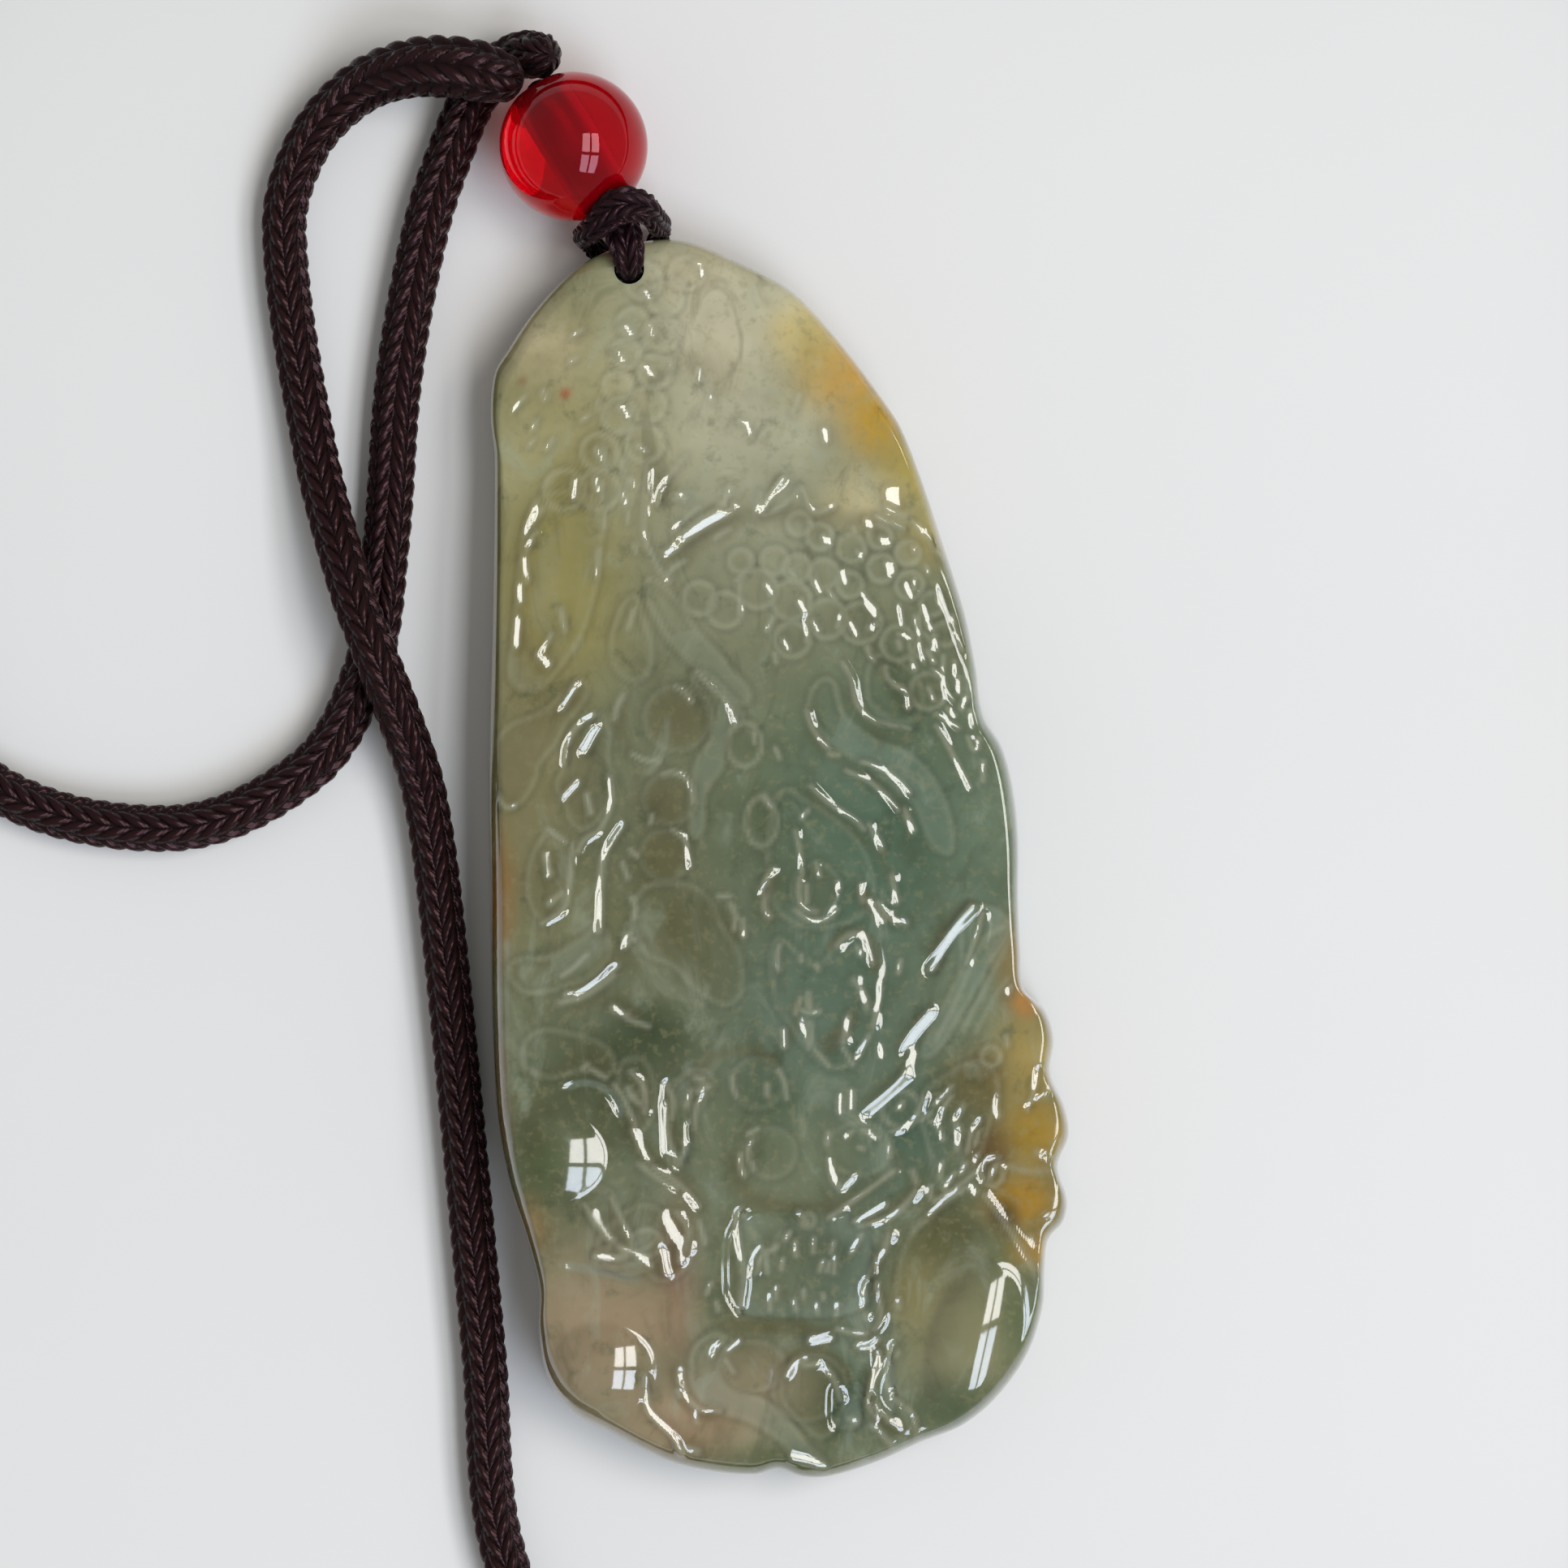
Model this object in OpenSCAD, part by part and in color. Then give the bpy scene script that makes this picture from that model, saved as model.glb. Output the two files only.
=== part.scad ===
/* [Stone] */
// Length of the carving, top to foot
stone_l = 66.4; // [60:0.1:72]
// Width of the carving across its widest place
stone_w = 31.2; // [28:0.1:34]
// Height of the carving's rim above its back
rim_h = 3.4; // [3:0.1:4.5]
// How much the carved face stands above the rim at the head
crown_rise = 4.2; // [3:0.1:5]
// How far the back is lifted at the top end, to let the cord pass behind
back_lift = 1.8; // [1.6:0.1:2]
// Radius of the hole for the cord
hole_r = 0.8; // [0.8:0.05:0.9]

/* [Bead] */
// Radius of the bead
bead_r = 4; // [3.9:0.05:4]
// Radius of the bead's bore
bead_bore_r = 1.1; // [1.05:0.05:1.2]

/* [Cord] */
// Diameter of the braided neck cord
cord_d = 2.5; // [2.2:0.1:2.5]
// Half the width of the two thin strands, side by side
strand_w = 0.95; // [0.8:0.05:0.95]
// Half the thickness of a flattened thin strand
strand_t = 0.5; // [0.4:0.05:0.5]

/* [Clasp] */
// Length of the barrel clasp
clasp_l = 14; // [10:0.5:15]
// Radius of the barrel clasp
clasp_r = 2.2; // [2.2:0.1:2.6]

/* [Hidden] */

jade_green = [0.55, 0.60, 0.48];
bead_red = [0.75, 0.02, 0.08];
cord_dark = [0.13, 0.07, 0.09];
clasp_brass = [0.75, 0.62, 0.36];

// Outline of the carving seen from the front, clockwise from the top, in parts of a 31.2 by 66.4 mm stone
outline_w = 31.2;
outline_l = 66.4;
outline_x_y = [
    [-6.9, 33.2], [-4.8, 33.1], [-1.7, 31.8], [0.5, 30.6], [1.9, 29.3], [3.7, 27.2], [5.5, 24.8],
    [6.6, 23.1], [7.7, 20.3], [8.8, 17.0], [10.0, 13.2], [10.6, 10.3], [11.0, 7.7], [12.0, 6.0],
    [12.6, 3.8], [12.9, 1.0], [12.9, -2.0], [13.0, -4.9], [13.2, -7.0], [14.3, -8.1], [14.8, -9.7],
    [14.6, -11.5], [15.4, -13.4], [15.6, -14.9], [15.0, -16.5], [15.5, -18.3], [15.3, -19.5],
    [14.5, -20.4], [14.3, -22.0], [14.2, -24.0], [13.4, -26.5], [11.8, -28.8], [9.9, -30.4],
    [7.7, -31.3], [5.3, -32.4], [2.7, -33.2], [1.2, -33.2], [0, -32.8], [-1.3, -33.1], [-3.8, -32.9],
    [-6.1, -32.3], [-9.3, -30.7], [-11.1, -29.7], [-12.4, -27.8], [-12.9, -25.2], [-12.9, -23.1],
    [-13.6, -20.2], [-14.5, -17.3], [-15.1, -13.8], [-15.4, -8.4], [-15.5, -1.8], [-15.6, 4.7],
    [-15.4, 13.4], [-15.3, 19.0], [-15.3, 21.8], [-15.5, 23.6], [-15.3, 26.0], [-14.6, 27.2],
    [-13.1, 29.4], [-11.0, 31.6], [-9.5, 32.5]
];

// Rings of the carved face: share of the way in from the outline to the middle, share of the crown reached
ring_in_rise = [
    [0.00, 0.00], [0.03, 0.14], [0.07, 0.27], [0.13, 0.42], [0.20, 0.55], [0.28, 0.66], [0.36, 0.75],
    [0.44, 0.82], [0.52, 0.88], [0.60, 0.92], [0.68, 0.95], [0.76, 0.97], [0.84, 0.99], [0.92, 1.00]
];

// How full the crown is along the carving: height on the long axis, share of crown_rise
crown_y_share = [
    [-34, 0.55], [-28, 0.85], [-20, 1.00], [-8, 0.98], [4, 0.80], [14, 0.66], [22, 0.46], [34, 0.18]
];

// Main masses of the relief: middle x, middle y, half width, half height, how far each stands out
mass_x_y_w_h_out = [
    [2.2, -6.5, 5.0, 6.0, 0.9],
    [2.0, -15.0, 5.0, 4.5, 0.8],
    [-8.4, -19.0, 4.0, 4.5, 0.9],
    [-9.0, -27.2, 4.0, 4.0, 0.8],
    [10.4, -24.6, 3.6, 6.0, 1.1],
    [13.6, -14.0, 2.4, 5.0, 0.5],
    [1.6, 15.2, 7.0, 2.6, 0.7],
    [8.0, 10.0, 3.0, 4.5, 0.6],
    [-11.0, 6.0, 3.0, 6.0, 0.5],
    [1.6, -28.6, 5.0, 1.6, -0.9]
];

// Where the back stops being flat and starts to lift towards the top end
lift_from_y = 25;
// The flat of the back, as a share of the outline
back_share = 0.93;
// Height of the side wall's lower edge above the flat of the back
back_round = 0.7;
middle_y = -3;
// How many neighbours each side a ring's point is averaged with, and how far in it is fully averaged
calm_reach = 7;
calm_by = 0.3;
cut_depth = 2;
hole_at = [-8.0, 31.6];

bead_at = [-11.0, 38.2, 4.0];
bore_turn = 31.7;
bore_over = 1;

// Route of the neck cord, from the bead's upper hole all the way round and back to it: x, y, z
neck_route = [
    [-14.8, 41.9, 5.0], [-17.2, 42.4, 4.8], [-20.0, 42.4, 3.6], [-22.9, 41.3, 2.0], [-25.5, 38.4, 1.4],
    [-26.7, 34.0, 1.3], [-25.1, 22.4, 1.6], [-23.0, 14.6, 3.5], [-21.6, 10.9, 4.0], [-20.3, 7.4, 3.2],
    [-19.1, 3.4, 1.8], [-18.1, -4.0, 1.4], [-15.9, -27.0, 1.3], [-15.0, -37.0, 1.3], [-11.8, -43.2, 1.3],
    [-5.0, -45.0, 1.3], [36.5, -44.8, 1.3], [45.6, -41.1, 1.4], [49.3, -32.0, 1.5], [49.5, -4.0, 2.2],
    [49.5, 12.0, 2.2], [49.3, 40.0, 1.5], [45.6, 49.1, 1.4], [36.5, 52.8, 1.3], [-35.9, 52.8, 1.3],
    [-45.0, 49.1, 1.3], [-48.7, 40.0, 1.3], [-48.6, 14.0, 1.3], [-43.4, 4.6, 1.3], [-33.0, 1.6, 1.3],
    [-25.4, 4.8, 1.3], [-22.2, 10.4, 1.3], [-21.2, 17.0, 1.3], [-20.5, 26.0, 1.3], [-19.0, 34.2, 1.3],
    [-17.4, 39.0, 1.3], [-16.4, 41.2, 1.3], [-15.2, 42.6, 1.6], [-13.9, 43.25, 2.4], [-12.9, 43.15, 3.5]
];
neck_step = 6.5;
neck_sides = 8;

// The two thin strands from the bead's upper hole, over the stone's edge and through its hole:
// x, y, z, half width and half thickness as shares of strand_w and strand_t
front_x_y_z_w_t = [
    [-12.7, 40.95, 4.0, 0.90, 1.70], [-9.6, 35.9, 4.0, 0.90, 1.70], [-8.6, 34.3, 4.05, 0.90, 1.60],
    [-8.35, 33.6, 4.6, 1.00, 1.20], [-8.2, 33.0, 5.0, 1.00, 1.10], [-8.05, 32.35, 4.9, 0.90, 1.05],
    [-8.0, 31.72, 4.35, 0.72, 1.10], [-8.0, 31.6, 3.3, 0.72, 1.30], [-8.0, 31.6, 1.6, 0.72, 1.30]
];
// The bight that leaves the back of the hole, rounds the stone's edge on both sides and crosses in front
bight_x_y_z_w_t = [
    [-8.35, 31.75, 0.65, 0.50, 1], [-9.3, 32.4, 0.6, 0.60, 1], [-10.15, 33.2, 1.0, 0.60, 1],
    [-10.5, 33.45, 2.4, 0.60, 1], [-10.45, 33.45, 4.0, 0.62, 1], [-9.9, 33.7, 5.7, 0.75, 1],
    [-8.4, 34.8, 6.75, 1.00, 1], [-7.1, 34.7, 6.2, 0.85, 1], [-6.6, 34.2, 4.7, 0.80, 1],
    [-6.3, 34.05, 2.8, 0.72, 1], [-6.45, 33.6, 1.2, 0.70, 1], [-6.9, 32.6, 0.6, 0.60, 1],
    [-7.45, 32.0, 0.65, 0.50, 1]
];
strand_step = 0.9;
strand_sides = 10;

clasp_at = [49.5, 4, 2.2];
clasp_round = 0.8;
clasp_bore_gap = 0.12;
round_fn = 64;

function place(r) = [r[0], r[1], r[2]];
function gap(a, b) = norm(place(b) - place(a));

// Direction of a smooth line at row i: from the row before it to the row after it
function lean(rows, i) =
    let (before = rows[max(i - 1, 0)], after = rows[min(i + 1, len(rows) - 1)])
    (after - before) / gap(before, after);

// Point at share t of the cubic from a to b that leaves along da and arrives along db, over a length h
function cubic(a, da, b, db, h, t) =
    a * (2 * t * t * t - 3 * t * t + 1) + da * h * (t * t * t - 2 * t * t + t)
    + b * (3 * t * t - 2 * t * t * t) + db * h * (t * t * t - t * t);

// The rows joined by one smooth line, with a new row about every step
function smooth(rows, step) = [
    for (i = [0:len(rows) - 2])
        let (h = gap(rows[i], rows[i + 1]), n = max(1, round(h / step)))
        for (k = [0:n - 1])
            cubic(rows[i], lean(rows, i), rows[i + 1], lean(rows, i + 1), h, k / n),
    rows[len(rows) - 1]
];

// Height between the rows of a table of places and values, as a smooth step from each row to the next
function between(table, y, i = 0) =
    y <= table[0][0] ? table[0][1] :
    i > len(table) - 2 ? table[len(table) - 1][1] :
    y > table[i + 1][0] ? between(table, y, i + 1) :
    let (t = (y - table[i][0]) / (table[i + 1][0] - table[i][0]), s = t * t * (3 - 2 * t))
    table[i][1] * (1 - s) + table[i + 1][1] * s;

// A closed tube along rows of x, y, z, half width and half thickness, its width lying along width_way
module tube(rows, sides, width_way) {
    last = len(rows) - 1;
    points = [
        for (i = [0:last])
            let (
                ahead = place(rows[min(i + 1, last)]) - place(rows[max(i - 1, 0)]),
                along = ahead / norm(ahead),
                raw = cross(along, width_way),
                over = raw / norm(raw),
                wide = cross(over, along)
            )
            for (k = [0:sides - 1])
                let (turn = 360 * (k + 0.5) / sides)
                place(rows[i]) + wide * rows[i][3] * cos(turn) + over * rows[i][4] * sin(turn)
    ];
    walls = [
        for (i = [0:last - 1], k = [0:sides - 1])
            let (a = i * sides + k, b = i * sides + (k + 1) % sides)
            for (side = [[a, a + sides, b], [b, a + sides, b + sides]]) side
    ];
    first_cap = [for (k = [0:sides - 1]) k];
    last_cap = [for (k = [sides - 1:-1:0]) last * sides + k];
    polyhedron(points, concat(walls, [first_cap, last_cap]), convexity = 10);
}

outline = [for (p = outline_x_y) [p[0] * stone_w / outline_w, p[1] * stone_l / outline_l]];

// The outline with a new point half way along each stretch, on the smooth curve through its neighbours
function fine_outline(p) = [
    for (i = [0:len(p) - 1])
        let (n = len(p), before = p[(i + n - 1) % n], here = p[i], next = p[(i + 1) % n], after = p[(i + 2) % n])
        for (q = [here, (here + next) * 0.5625 - (before + after) * 0.0625]) q
];

// The outline's point i averaged with its neighbours, which irons out the small waves of the rim
function average(p, i) = [for (k = [-calm_reach:calm_reach]) 1] * [
    for (k = [-calm_reach:calm_reach]) p[(i + k + len(p)) % len(p)] / (2 * calm_reach + 1)
];

// Sum of the main masses at one place, each a soft round hill
function masses(x, y) = [
    for (m = mass_x_y_w_h_out) m[4] * exp(-pow((x - m[0]) / m[2], 2) - pow((y - m[1]) / m[3], 2))
] * [for (m = mass_x_y_w_h_out) 1];

// Height of the carved face at one place, where share of the crown has been reached
function face(x, y, share) = rim_h + share * (between(crown_y_share, y) * crown_rise + masses(x, y));
function lift(y) = y <= lift_from_y ? 0 : back_lift * (y - lift_from_y) / (stone_l / 2 - lift_from_y);

// The carving without its hole: rings from the cut below the back, up the side wall and in over the face
module carving() {
    rim = fine_outline(outline);
    n = len(rim);
    calm = [for (i = [0:n - 1]) average(rim, i)];
    flat_ring = [for (p = rim) [p[0] * back_share, min(p[1] * back_share, lift_from_y), -cut_depth]];
    base_ring = [for (p = rim) [p[0] * back_share, min(p[1] * back_share, lift_from_y), 0]];
    wall_ring = [for (p = rim) [p[0], p[1], lift(p[1]) + back_round]];
    face_rings = [
        for (ring = ring_in_rise)
            for (i = [0:n - 1])
                let (p = rim[i] + (calm[i] - rim[i]) * min(1, ring[0] / calm_by))
                let (x = p[0] * (1 - ring[0]), y = middle_y + (p[1] - middle_y) * (1 - ring[0]))
                [x, y, face(x, y, ring[1])]
    ];
    rings = 3 + len(ring_in_rise);
    crown = rings * n;
    foot = crown + 1;
    points = concat(
        flat_ring, base_ring, wall_ring, face_rings,
        [[0, middle_y, face(0, middle_y, 1)], [0, middle_y, -cut_depth]]
    );
    walls = [
        for (j = [0:rings - 2], i = [0:n - 1])
            let (a = j * n + i, b = j * n + (i + 1) % n)
            for (side = [[a, b, a + n], [b, b + n, a + n]]) side
    ];
    top_fan = [for (i = [0:n - 1]) [(rings - 1) * n + i, (rings - 1) * n + (i + 1) % n, crown]];
    foot_fan = [for (i = [0:n - 1]) [(i + 1) % n, i, foot]];
    polyhedron(points, concat(walls, top_fan, foot_fan), convexity = 10);
}

module stone() {
    color(jade_green)
    difference() {
        carving();
        translate([-stone_w, -stone_l, -2 * cut_depth]) cube([2 * stone_w, 2 * stone_l, 2 * cut_depth]);
        translate([hole_at[0], hole_at[1], -1]) cylinder(r = hole_r, h = 2 * (rim_h + crown_rise), $fn = round_fn);
    }
}

module bead() {
    color(bead_red)
    translate(bead_at)
    difference() {
        sphere(r = bead_r, $fn = round_fn);
        rotate([-90, 0, bore_turn])
            translate([0, 0, -bead_r - bore_over])
            cylinder(r = bead_bore_r, h = 2 * (bead_r + bore_over), $fn = round_fn);
    }
}

// A strand's table as a smooth line with real widths and thicknesses
function strand(rows) = smooth([for (r = rows) [r[0], r[1], r[2], r[3] * strand_w, r[4] * strand_t]], strand_step);

module hitch() {
    color(cord_dark)
    {
        tube(strand(front_x_y_z_w_t), strand_sides, [1, 0, 0]);
        tube(strand(bight_x_y_z_w_t), strand_sides, [0, 1, 0]);
    }
}

module neck_cord() {
    color(cord_dark)
    tube([for (p = smooth(neck_route, neck_step)) [p[0], p[1], p[2], cord_d / 2, cord_d / 2]], neck_sides, [0, 0, 1]);
}

module clasp() {
    half = clasp_l / 2;
    bore = cord_d / 2 + clasp_bore_gap;
    color(clasp_brass)
    translate(clasp_at)
    rotate([-90, 0, 0])
    rotate_extrude($fn = round_fn)
    polygon([
        [bore, -half], [clasp_r - clasp_round, -half], [clasp_r, -half + clasp_round],
        [clasp_r, half - clasp_round], [clasp_r - clasp_round, half], [bore, half]
    ]);
}

stone();
bead();
hitch();
neck_cord();
clasp();
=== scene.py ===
"""Carved jade pendant with a red glass bead and a braided hitch and neck cord, laid on a pale table."""
import math

import bpy
import numpy as np
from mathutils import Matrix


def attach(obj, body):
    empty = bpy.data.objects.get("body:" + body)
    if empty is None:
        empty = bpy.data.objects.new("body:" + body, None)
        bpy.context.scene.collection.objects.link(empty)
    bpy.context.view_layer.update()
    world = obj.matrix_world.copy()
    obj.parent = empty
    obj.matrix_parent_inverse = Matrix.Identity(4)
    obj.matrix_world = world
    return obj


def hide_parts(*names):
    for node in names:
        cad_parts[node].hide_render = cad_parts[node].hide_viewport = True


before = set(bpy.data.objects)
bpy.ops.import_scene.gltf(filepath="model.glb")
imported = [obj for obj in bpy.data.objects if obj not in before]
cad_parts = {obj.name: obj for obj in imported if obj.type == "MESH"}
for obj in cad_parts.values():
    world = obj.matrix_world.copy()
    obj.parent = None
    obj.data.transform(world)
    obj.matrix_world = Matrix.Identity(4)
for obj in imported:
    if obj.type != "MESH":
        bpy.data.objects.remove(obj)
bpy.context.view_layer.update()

# Tables below are in millimetres; every mesh is made in metres
MM = 0.001

# Camera: straight above the pendant, as in the photograph
VIEW_CENTRE = (0.3, 4.0)
VIEW_WIDTH = 84.0
VIEW_LEVEL = 4.5
CAMERA_HEIGHT = 380.0
SENSOR_WIDTH = 36.0
CLIP_NEAR, CLIP_FAR = 0.02, 20.0

camera_data = bpy.data.cameras.new("photo_camera")
camera_data.sensor_width = SENSOR_WIDTH
camera_data.lens = SENSOR_WIDTH * (CAMERA_HEIGHT - VIEW_LEVEL) / VIEW_WIDTH
camera_data.clip_start = CLIP_NEAR
camera_data.clip_end = CLIP_FAR
camera = bpy.data.objects.new("photo_camera", camera_data)
camera.location = (VIEW_CENTRE[0] * MM, VIEW_CENTRE[1] * MM, CAMERA_HEIGHT * MM)
bpy.context.collection.objects.link(camera)
bpy.context.scene.camera = camera


def unit(rows):
    """Each row divided by its length."""
    return rows / np.linalg.norm(rows, axis=-1, keepdims=True)


# Points worked out on each stretch of a smooth line before it is cut at even steps
CURVE_POINTS = 24


def smooth_line(rows, step):
    """Cubic through the rows, which leaves each row along the line from the row before it to the row after
    it, with tangents as long as the stretch, cut again at even steps along its length. Returns rows and
    their run."""
    rows = np.asarray(rows, float)
    before = np.vstack([rows[:1], rows[:-1]])
    after = np.vstack([rows[1:], rows[-1:]])
    lean = (after - before) / np.linalg.norm((after - before)[:, :3], axis=1)[:, None]
    stretch = np.linalg.norm(np.diff(rows[:, :3], axis=0), axis=1)[:, None, None]
    t = np.linspace(0, 1, CURVE_POINTS, endpoint=False)[None, :, None]
    fine = (
        rows[:-1, None] * (2 * t**3 - 3 * t**2 + 1)
        + lean[:-1, None] * stretch * (t**3 - 2 * t**2 + t)
        + rows[1:, None] * (3 * t**2 - 2 * t**3)
        + lean[1:, None] * stretch * (t**3 - t**2)
    ).reshape(-1, rows.shape[1])
    fine = np.vstack([fine, rows[-1:]])
    run = np.concatenate([[0], np.cumsum(np.linalg.norm(np.diff(fine[:, :3], axis=0), axis=1))])
    even = np.linspace(0, run[-1], max(2, int(round(run[-1] / step)) + 1))
    return np.stack([np.interp(even, run, column) for column in fine.T], axis=1), even


def new_object(name, vertices, quads, triangles=None, uv=None):
    """A smooth-shaded mesh from vertices in millimetres, quads, then triangles, and one UV row per
    corner."""
    triangles = np.zeros((0, 3), int) if triangles is None else triangles
    corners = np.concatenate([quads.ravel(), triangles.ravel()]).astype(np.int32)
    starts = np.concatenate([np.arange(len(quads)) * 4, quads.size + np.arange(len(triangles)) * 3])
    mesh = bpy.data.meshes.new(name)
    mesh.vertices.add(len(vertices))
    mesh.vertices.foreach_set("co", (vertices * MM).astype(np.float32).ravel())
    mesh.loops.add(len(corners))
    mesh.loops.foreach_set("vertex_index", corners)
    mesh.polygons.add(len(starts))
    mesh.polygons.foreach_set("loop_start", starts.astype(np.int32))
    if uv is not None:
        layer = mesh.uv_layers.new(name="weave")
        layer.data.foreach_set("uv", np.asarray(uv, np.float32).ravel())
    mesh.update(calc_edges=True)
    mesh.validate()
    mesh.shade_smooth()
    made = bpy.data.objects.new(name, mesh)
    bpy.context.collection.objects.link(made)
    return made


def wrapped_quads(rings, sides):
    """Corner numbers of the quads between rings whose sides wrap round."""
    ring, side = np.meshgrid(np.arange(rings - 1), np.arange(sides), indexing="ij")
    here = ring * sides + side
    beside = ring * sides + (side + 1) % sides
    return np.stack([here, beside, beside + sides, here + sides], axis=-1).reshape(-1, 4)


def stitches(turn, run, braid):
    """Height of a round plait, 0 in the gaps and 1 on a stitch: columns round the cord, and in each a row
    of slanting stitches |cos|^0.8, leaning the other way in every second column, so that pairs of columns
    make a V. Across a column the height is 0.4 + 0.6 cos^0.7."""
    column = turn * braid["columns"]
    across = column % 1 - 0.5
    lean = np.where(np.floor(column) % 2 < 1, 1.0, -1.0)
    stitch = np.abs(np.cos(math.pi * (run / braid["pitch"] + lean * braid["slant"] * across)))
    return stitch**0.8 * (0.4 + 0.6 * np.cos(math.pi * across) ** 0.7)


# Rings of a round end, how far round from the tip its first ring lies, as a share of the quarter turn, and
# the plait's height that leaves a cord as thick as its bare tube
CAP_RINGS = 6
CAP_START = 0.1
PLAIT_LEVEL = 0.6


def tube(name, line, run, half_width, half_height, width_way, braid):
    """A tube carried along a line: at each place an ellipse of the given half width and half height, its
    width lying as near to width_way as the line lets it, swollen by the plait. Each end closes in a round
    cap that carries the plait on."""
    sides = braid["sides"]
    along = unit(np.gradient(line[:, :3], axis=0))
    over = unit(np.cross(along, np.asarray(width_way, float)))
    wide = np.cross(over, along)
    turn = np.arange(sides) / sides
    angle = 2 * math.pi * turn
    lift = np.linspace(CAP_START, 1, CAP_RINGS)[:-1] * math.pi / 2
    bow = math.pi / 2 - lift
    # All rings, the caps' ones too: place along the line, size, and push along it in half heights
    at = np.concatenate([np.zeros(len(lift), int), np.arange(len(line)), np.full(len(lift), len(line) - 1)])
    share = np.concatenate([np.sin(lift), np.ones(len(line)), np.sin(lift[::-1])])
    push = np.concatenate([-np.cos(lift), np.zeros(len(line)), np.cos(lift[::-1])])
    reach = np.concatenate([run[0] - bow * half_height[0], run, run[-1] + bow[::-1] * half_height[-1]])
    swell = 1 + braid["depth"] * (stitches(turn, reach[:, None], braid) - PLAIT_LEVEL)
    points = (
        line[at, None, :3]
        + (along[at] * (push * half_height[at])[:, None])[:, None]
        + wide[at, None] * ((half_width[at] * share)[:, None] * swell * np.cos(angle))[..., None]
        + over[at, None] * ((half_height[at] * share)[:, None] * swell * np.sin(angle))[..., None]
    )
    count = len(points)
    tips = np.stack([points[0].mean(axis=0), points[-1].mean(axis=0)])
    side = np.arange(sides)
    last_ring = (count - 1) * sides
    beside = (side + 1) % sides
    first = np.stack([np.full(sides, count * sides), beside, side], axis=1)
    last = np.stack([np.full(sides, count * sides + 1), last_ring + side, last_ring + beside], axis=1)
    ring, column = np.meshgrid(np.arange(count - 1), side, indexing="ij")
    left, right = column / sides, (column + 1) / sides
    low, high = reach[ring], reach[ring + 1]
    quad_uv = np.stack([left, low, right, low, right, high, left, high], axis=-1).reshape(-1, 2)
    cap_uv = np.stack([side / sides, np.zeros(sides)], axis=1).repeat(3, axis=0)
    return new_object(
        name,
        np.concatenate([points.reshape(-1, 3), tips]),
        wrapped_quads(count, sides),
        np.concatenate([first, last]),
        np.concatenate([quad_uv, cap_uv, cap_uv]),
    )


# Neck cord, on the route of the CAD cord
NECK_ROUTE = [
    (-15.0, 41.9, 4.5), (-17.2, 42.4, 4.4), (-20.0, 42.4, 3.5), (-22.9, 41.3, 2.0), (-25.5, 38.4, 1.4),
    (-26.7, 34.0, 1.3), (-25.1, 22.4, 1.6), (-23.0, 14.6, 3.5), (-21.6, 10.9, 4.0), (-20.3, 7.4, 3.2),
    (-19.1, 3.4, 1.8), (-18.1, -4.0, 1.4), (-15.9, -27.0, 1.3), (-15.0, -37.0, 1.3), (-11.8, -43.2, 1.3),
    (-5.0, -45.0, 1.3), (36.5, -44.8, 1.3), (45.6, -41.1, 1.4), (49.3, -32.0, 1.5), (49.5, -4.0, 2.2),
    (49.5, 12.0, 2.2), (49.3, 40.0, 1.5), (45.6, 49.1, 1.4), (36.5, 52.8, 1.3), (-35.9, 52.8, 1.3),
    (-45.0, 49.1, 1.3), (-48.7, 40.0, 1.3), (-48.6, 14.0, 1.3), (-43.4, 4.6, 1.3), (-33.0, 1.6, 1.3),
    (-25.4, 4.8, 1.3), (-22.2, 10.4, 1.3), (-21.2, 17.0, 1.3), (-20.5, 26.0, 1.3), (-19.0, 34.2, 1.3),
    (-17.4, 39.0, 1.3), (-16.4, 41.2, 1.3), (-15.2, 42.6, 1.6), (-13.9, 43.25, 2.4), (-12.9, 43.15, 3.5),
]
# A plait: points round the cord, columns, length of a stitch, its slant, and the swell as a share of the
# radius
NECK_BRAID = {"sides": 32, "columns": 8, "pitch": 1.05, "slant": 1.15, "depth": 0.2}
NECK_STEP = 0.155
neck_line, neck_run = smooth_line(NECK_ROUTE, NECK_STEP)
# The cord is slack and fat near the bead, and drawn thinner after the bend: run along it, radius
NECK_RADII = [(0, 1.4), (1, 1.6), (3.5, 1.62), (7.5, 1.42), (12, 1.24), (17, 1.18), (neck_run[-1] - 12, 1.25)]
neck_radius = np.interp(neck_run, *np.transpose(NECK_RADII))
neck_cord = tube("neck_cord_braid", neck_line, neck_run, neck_radius, neck_radius, (0, 0, 1), NECK_BRAID)

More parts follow.
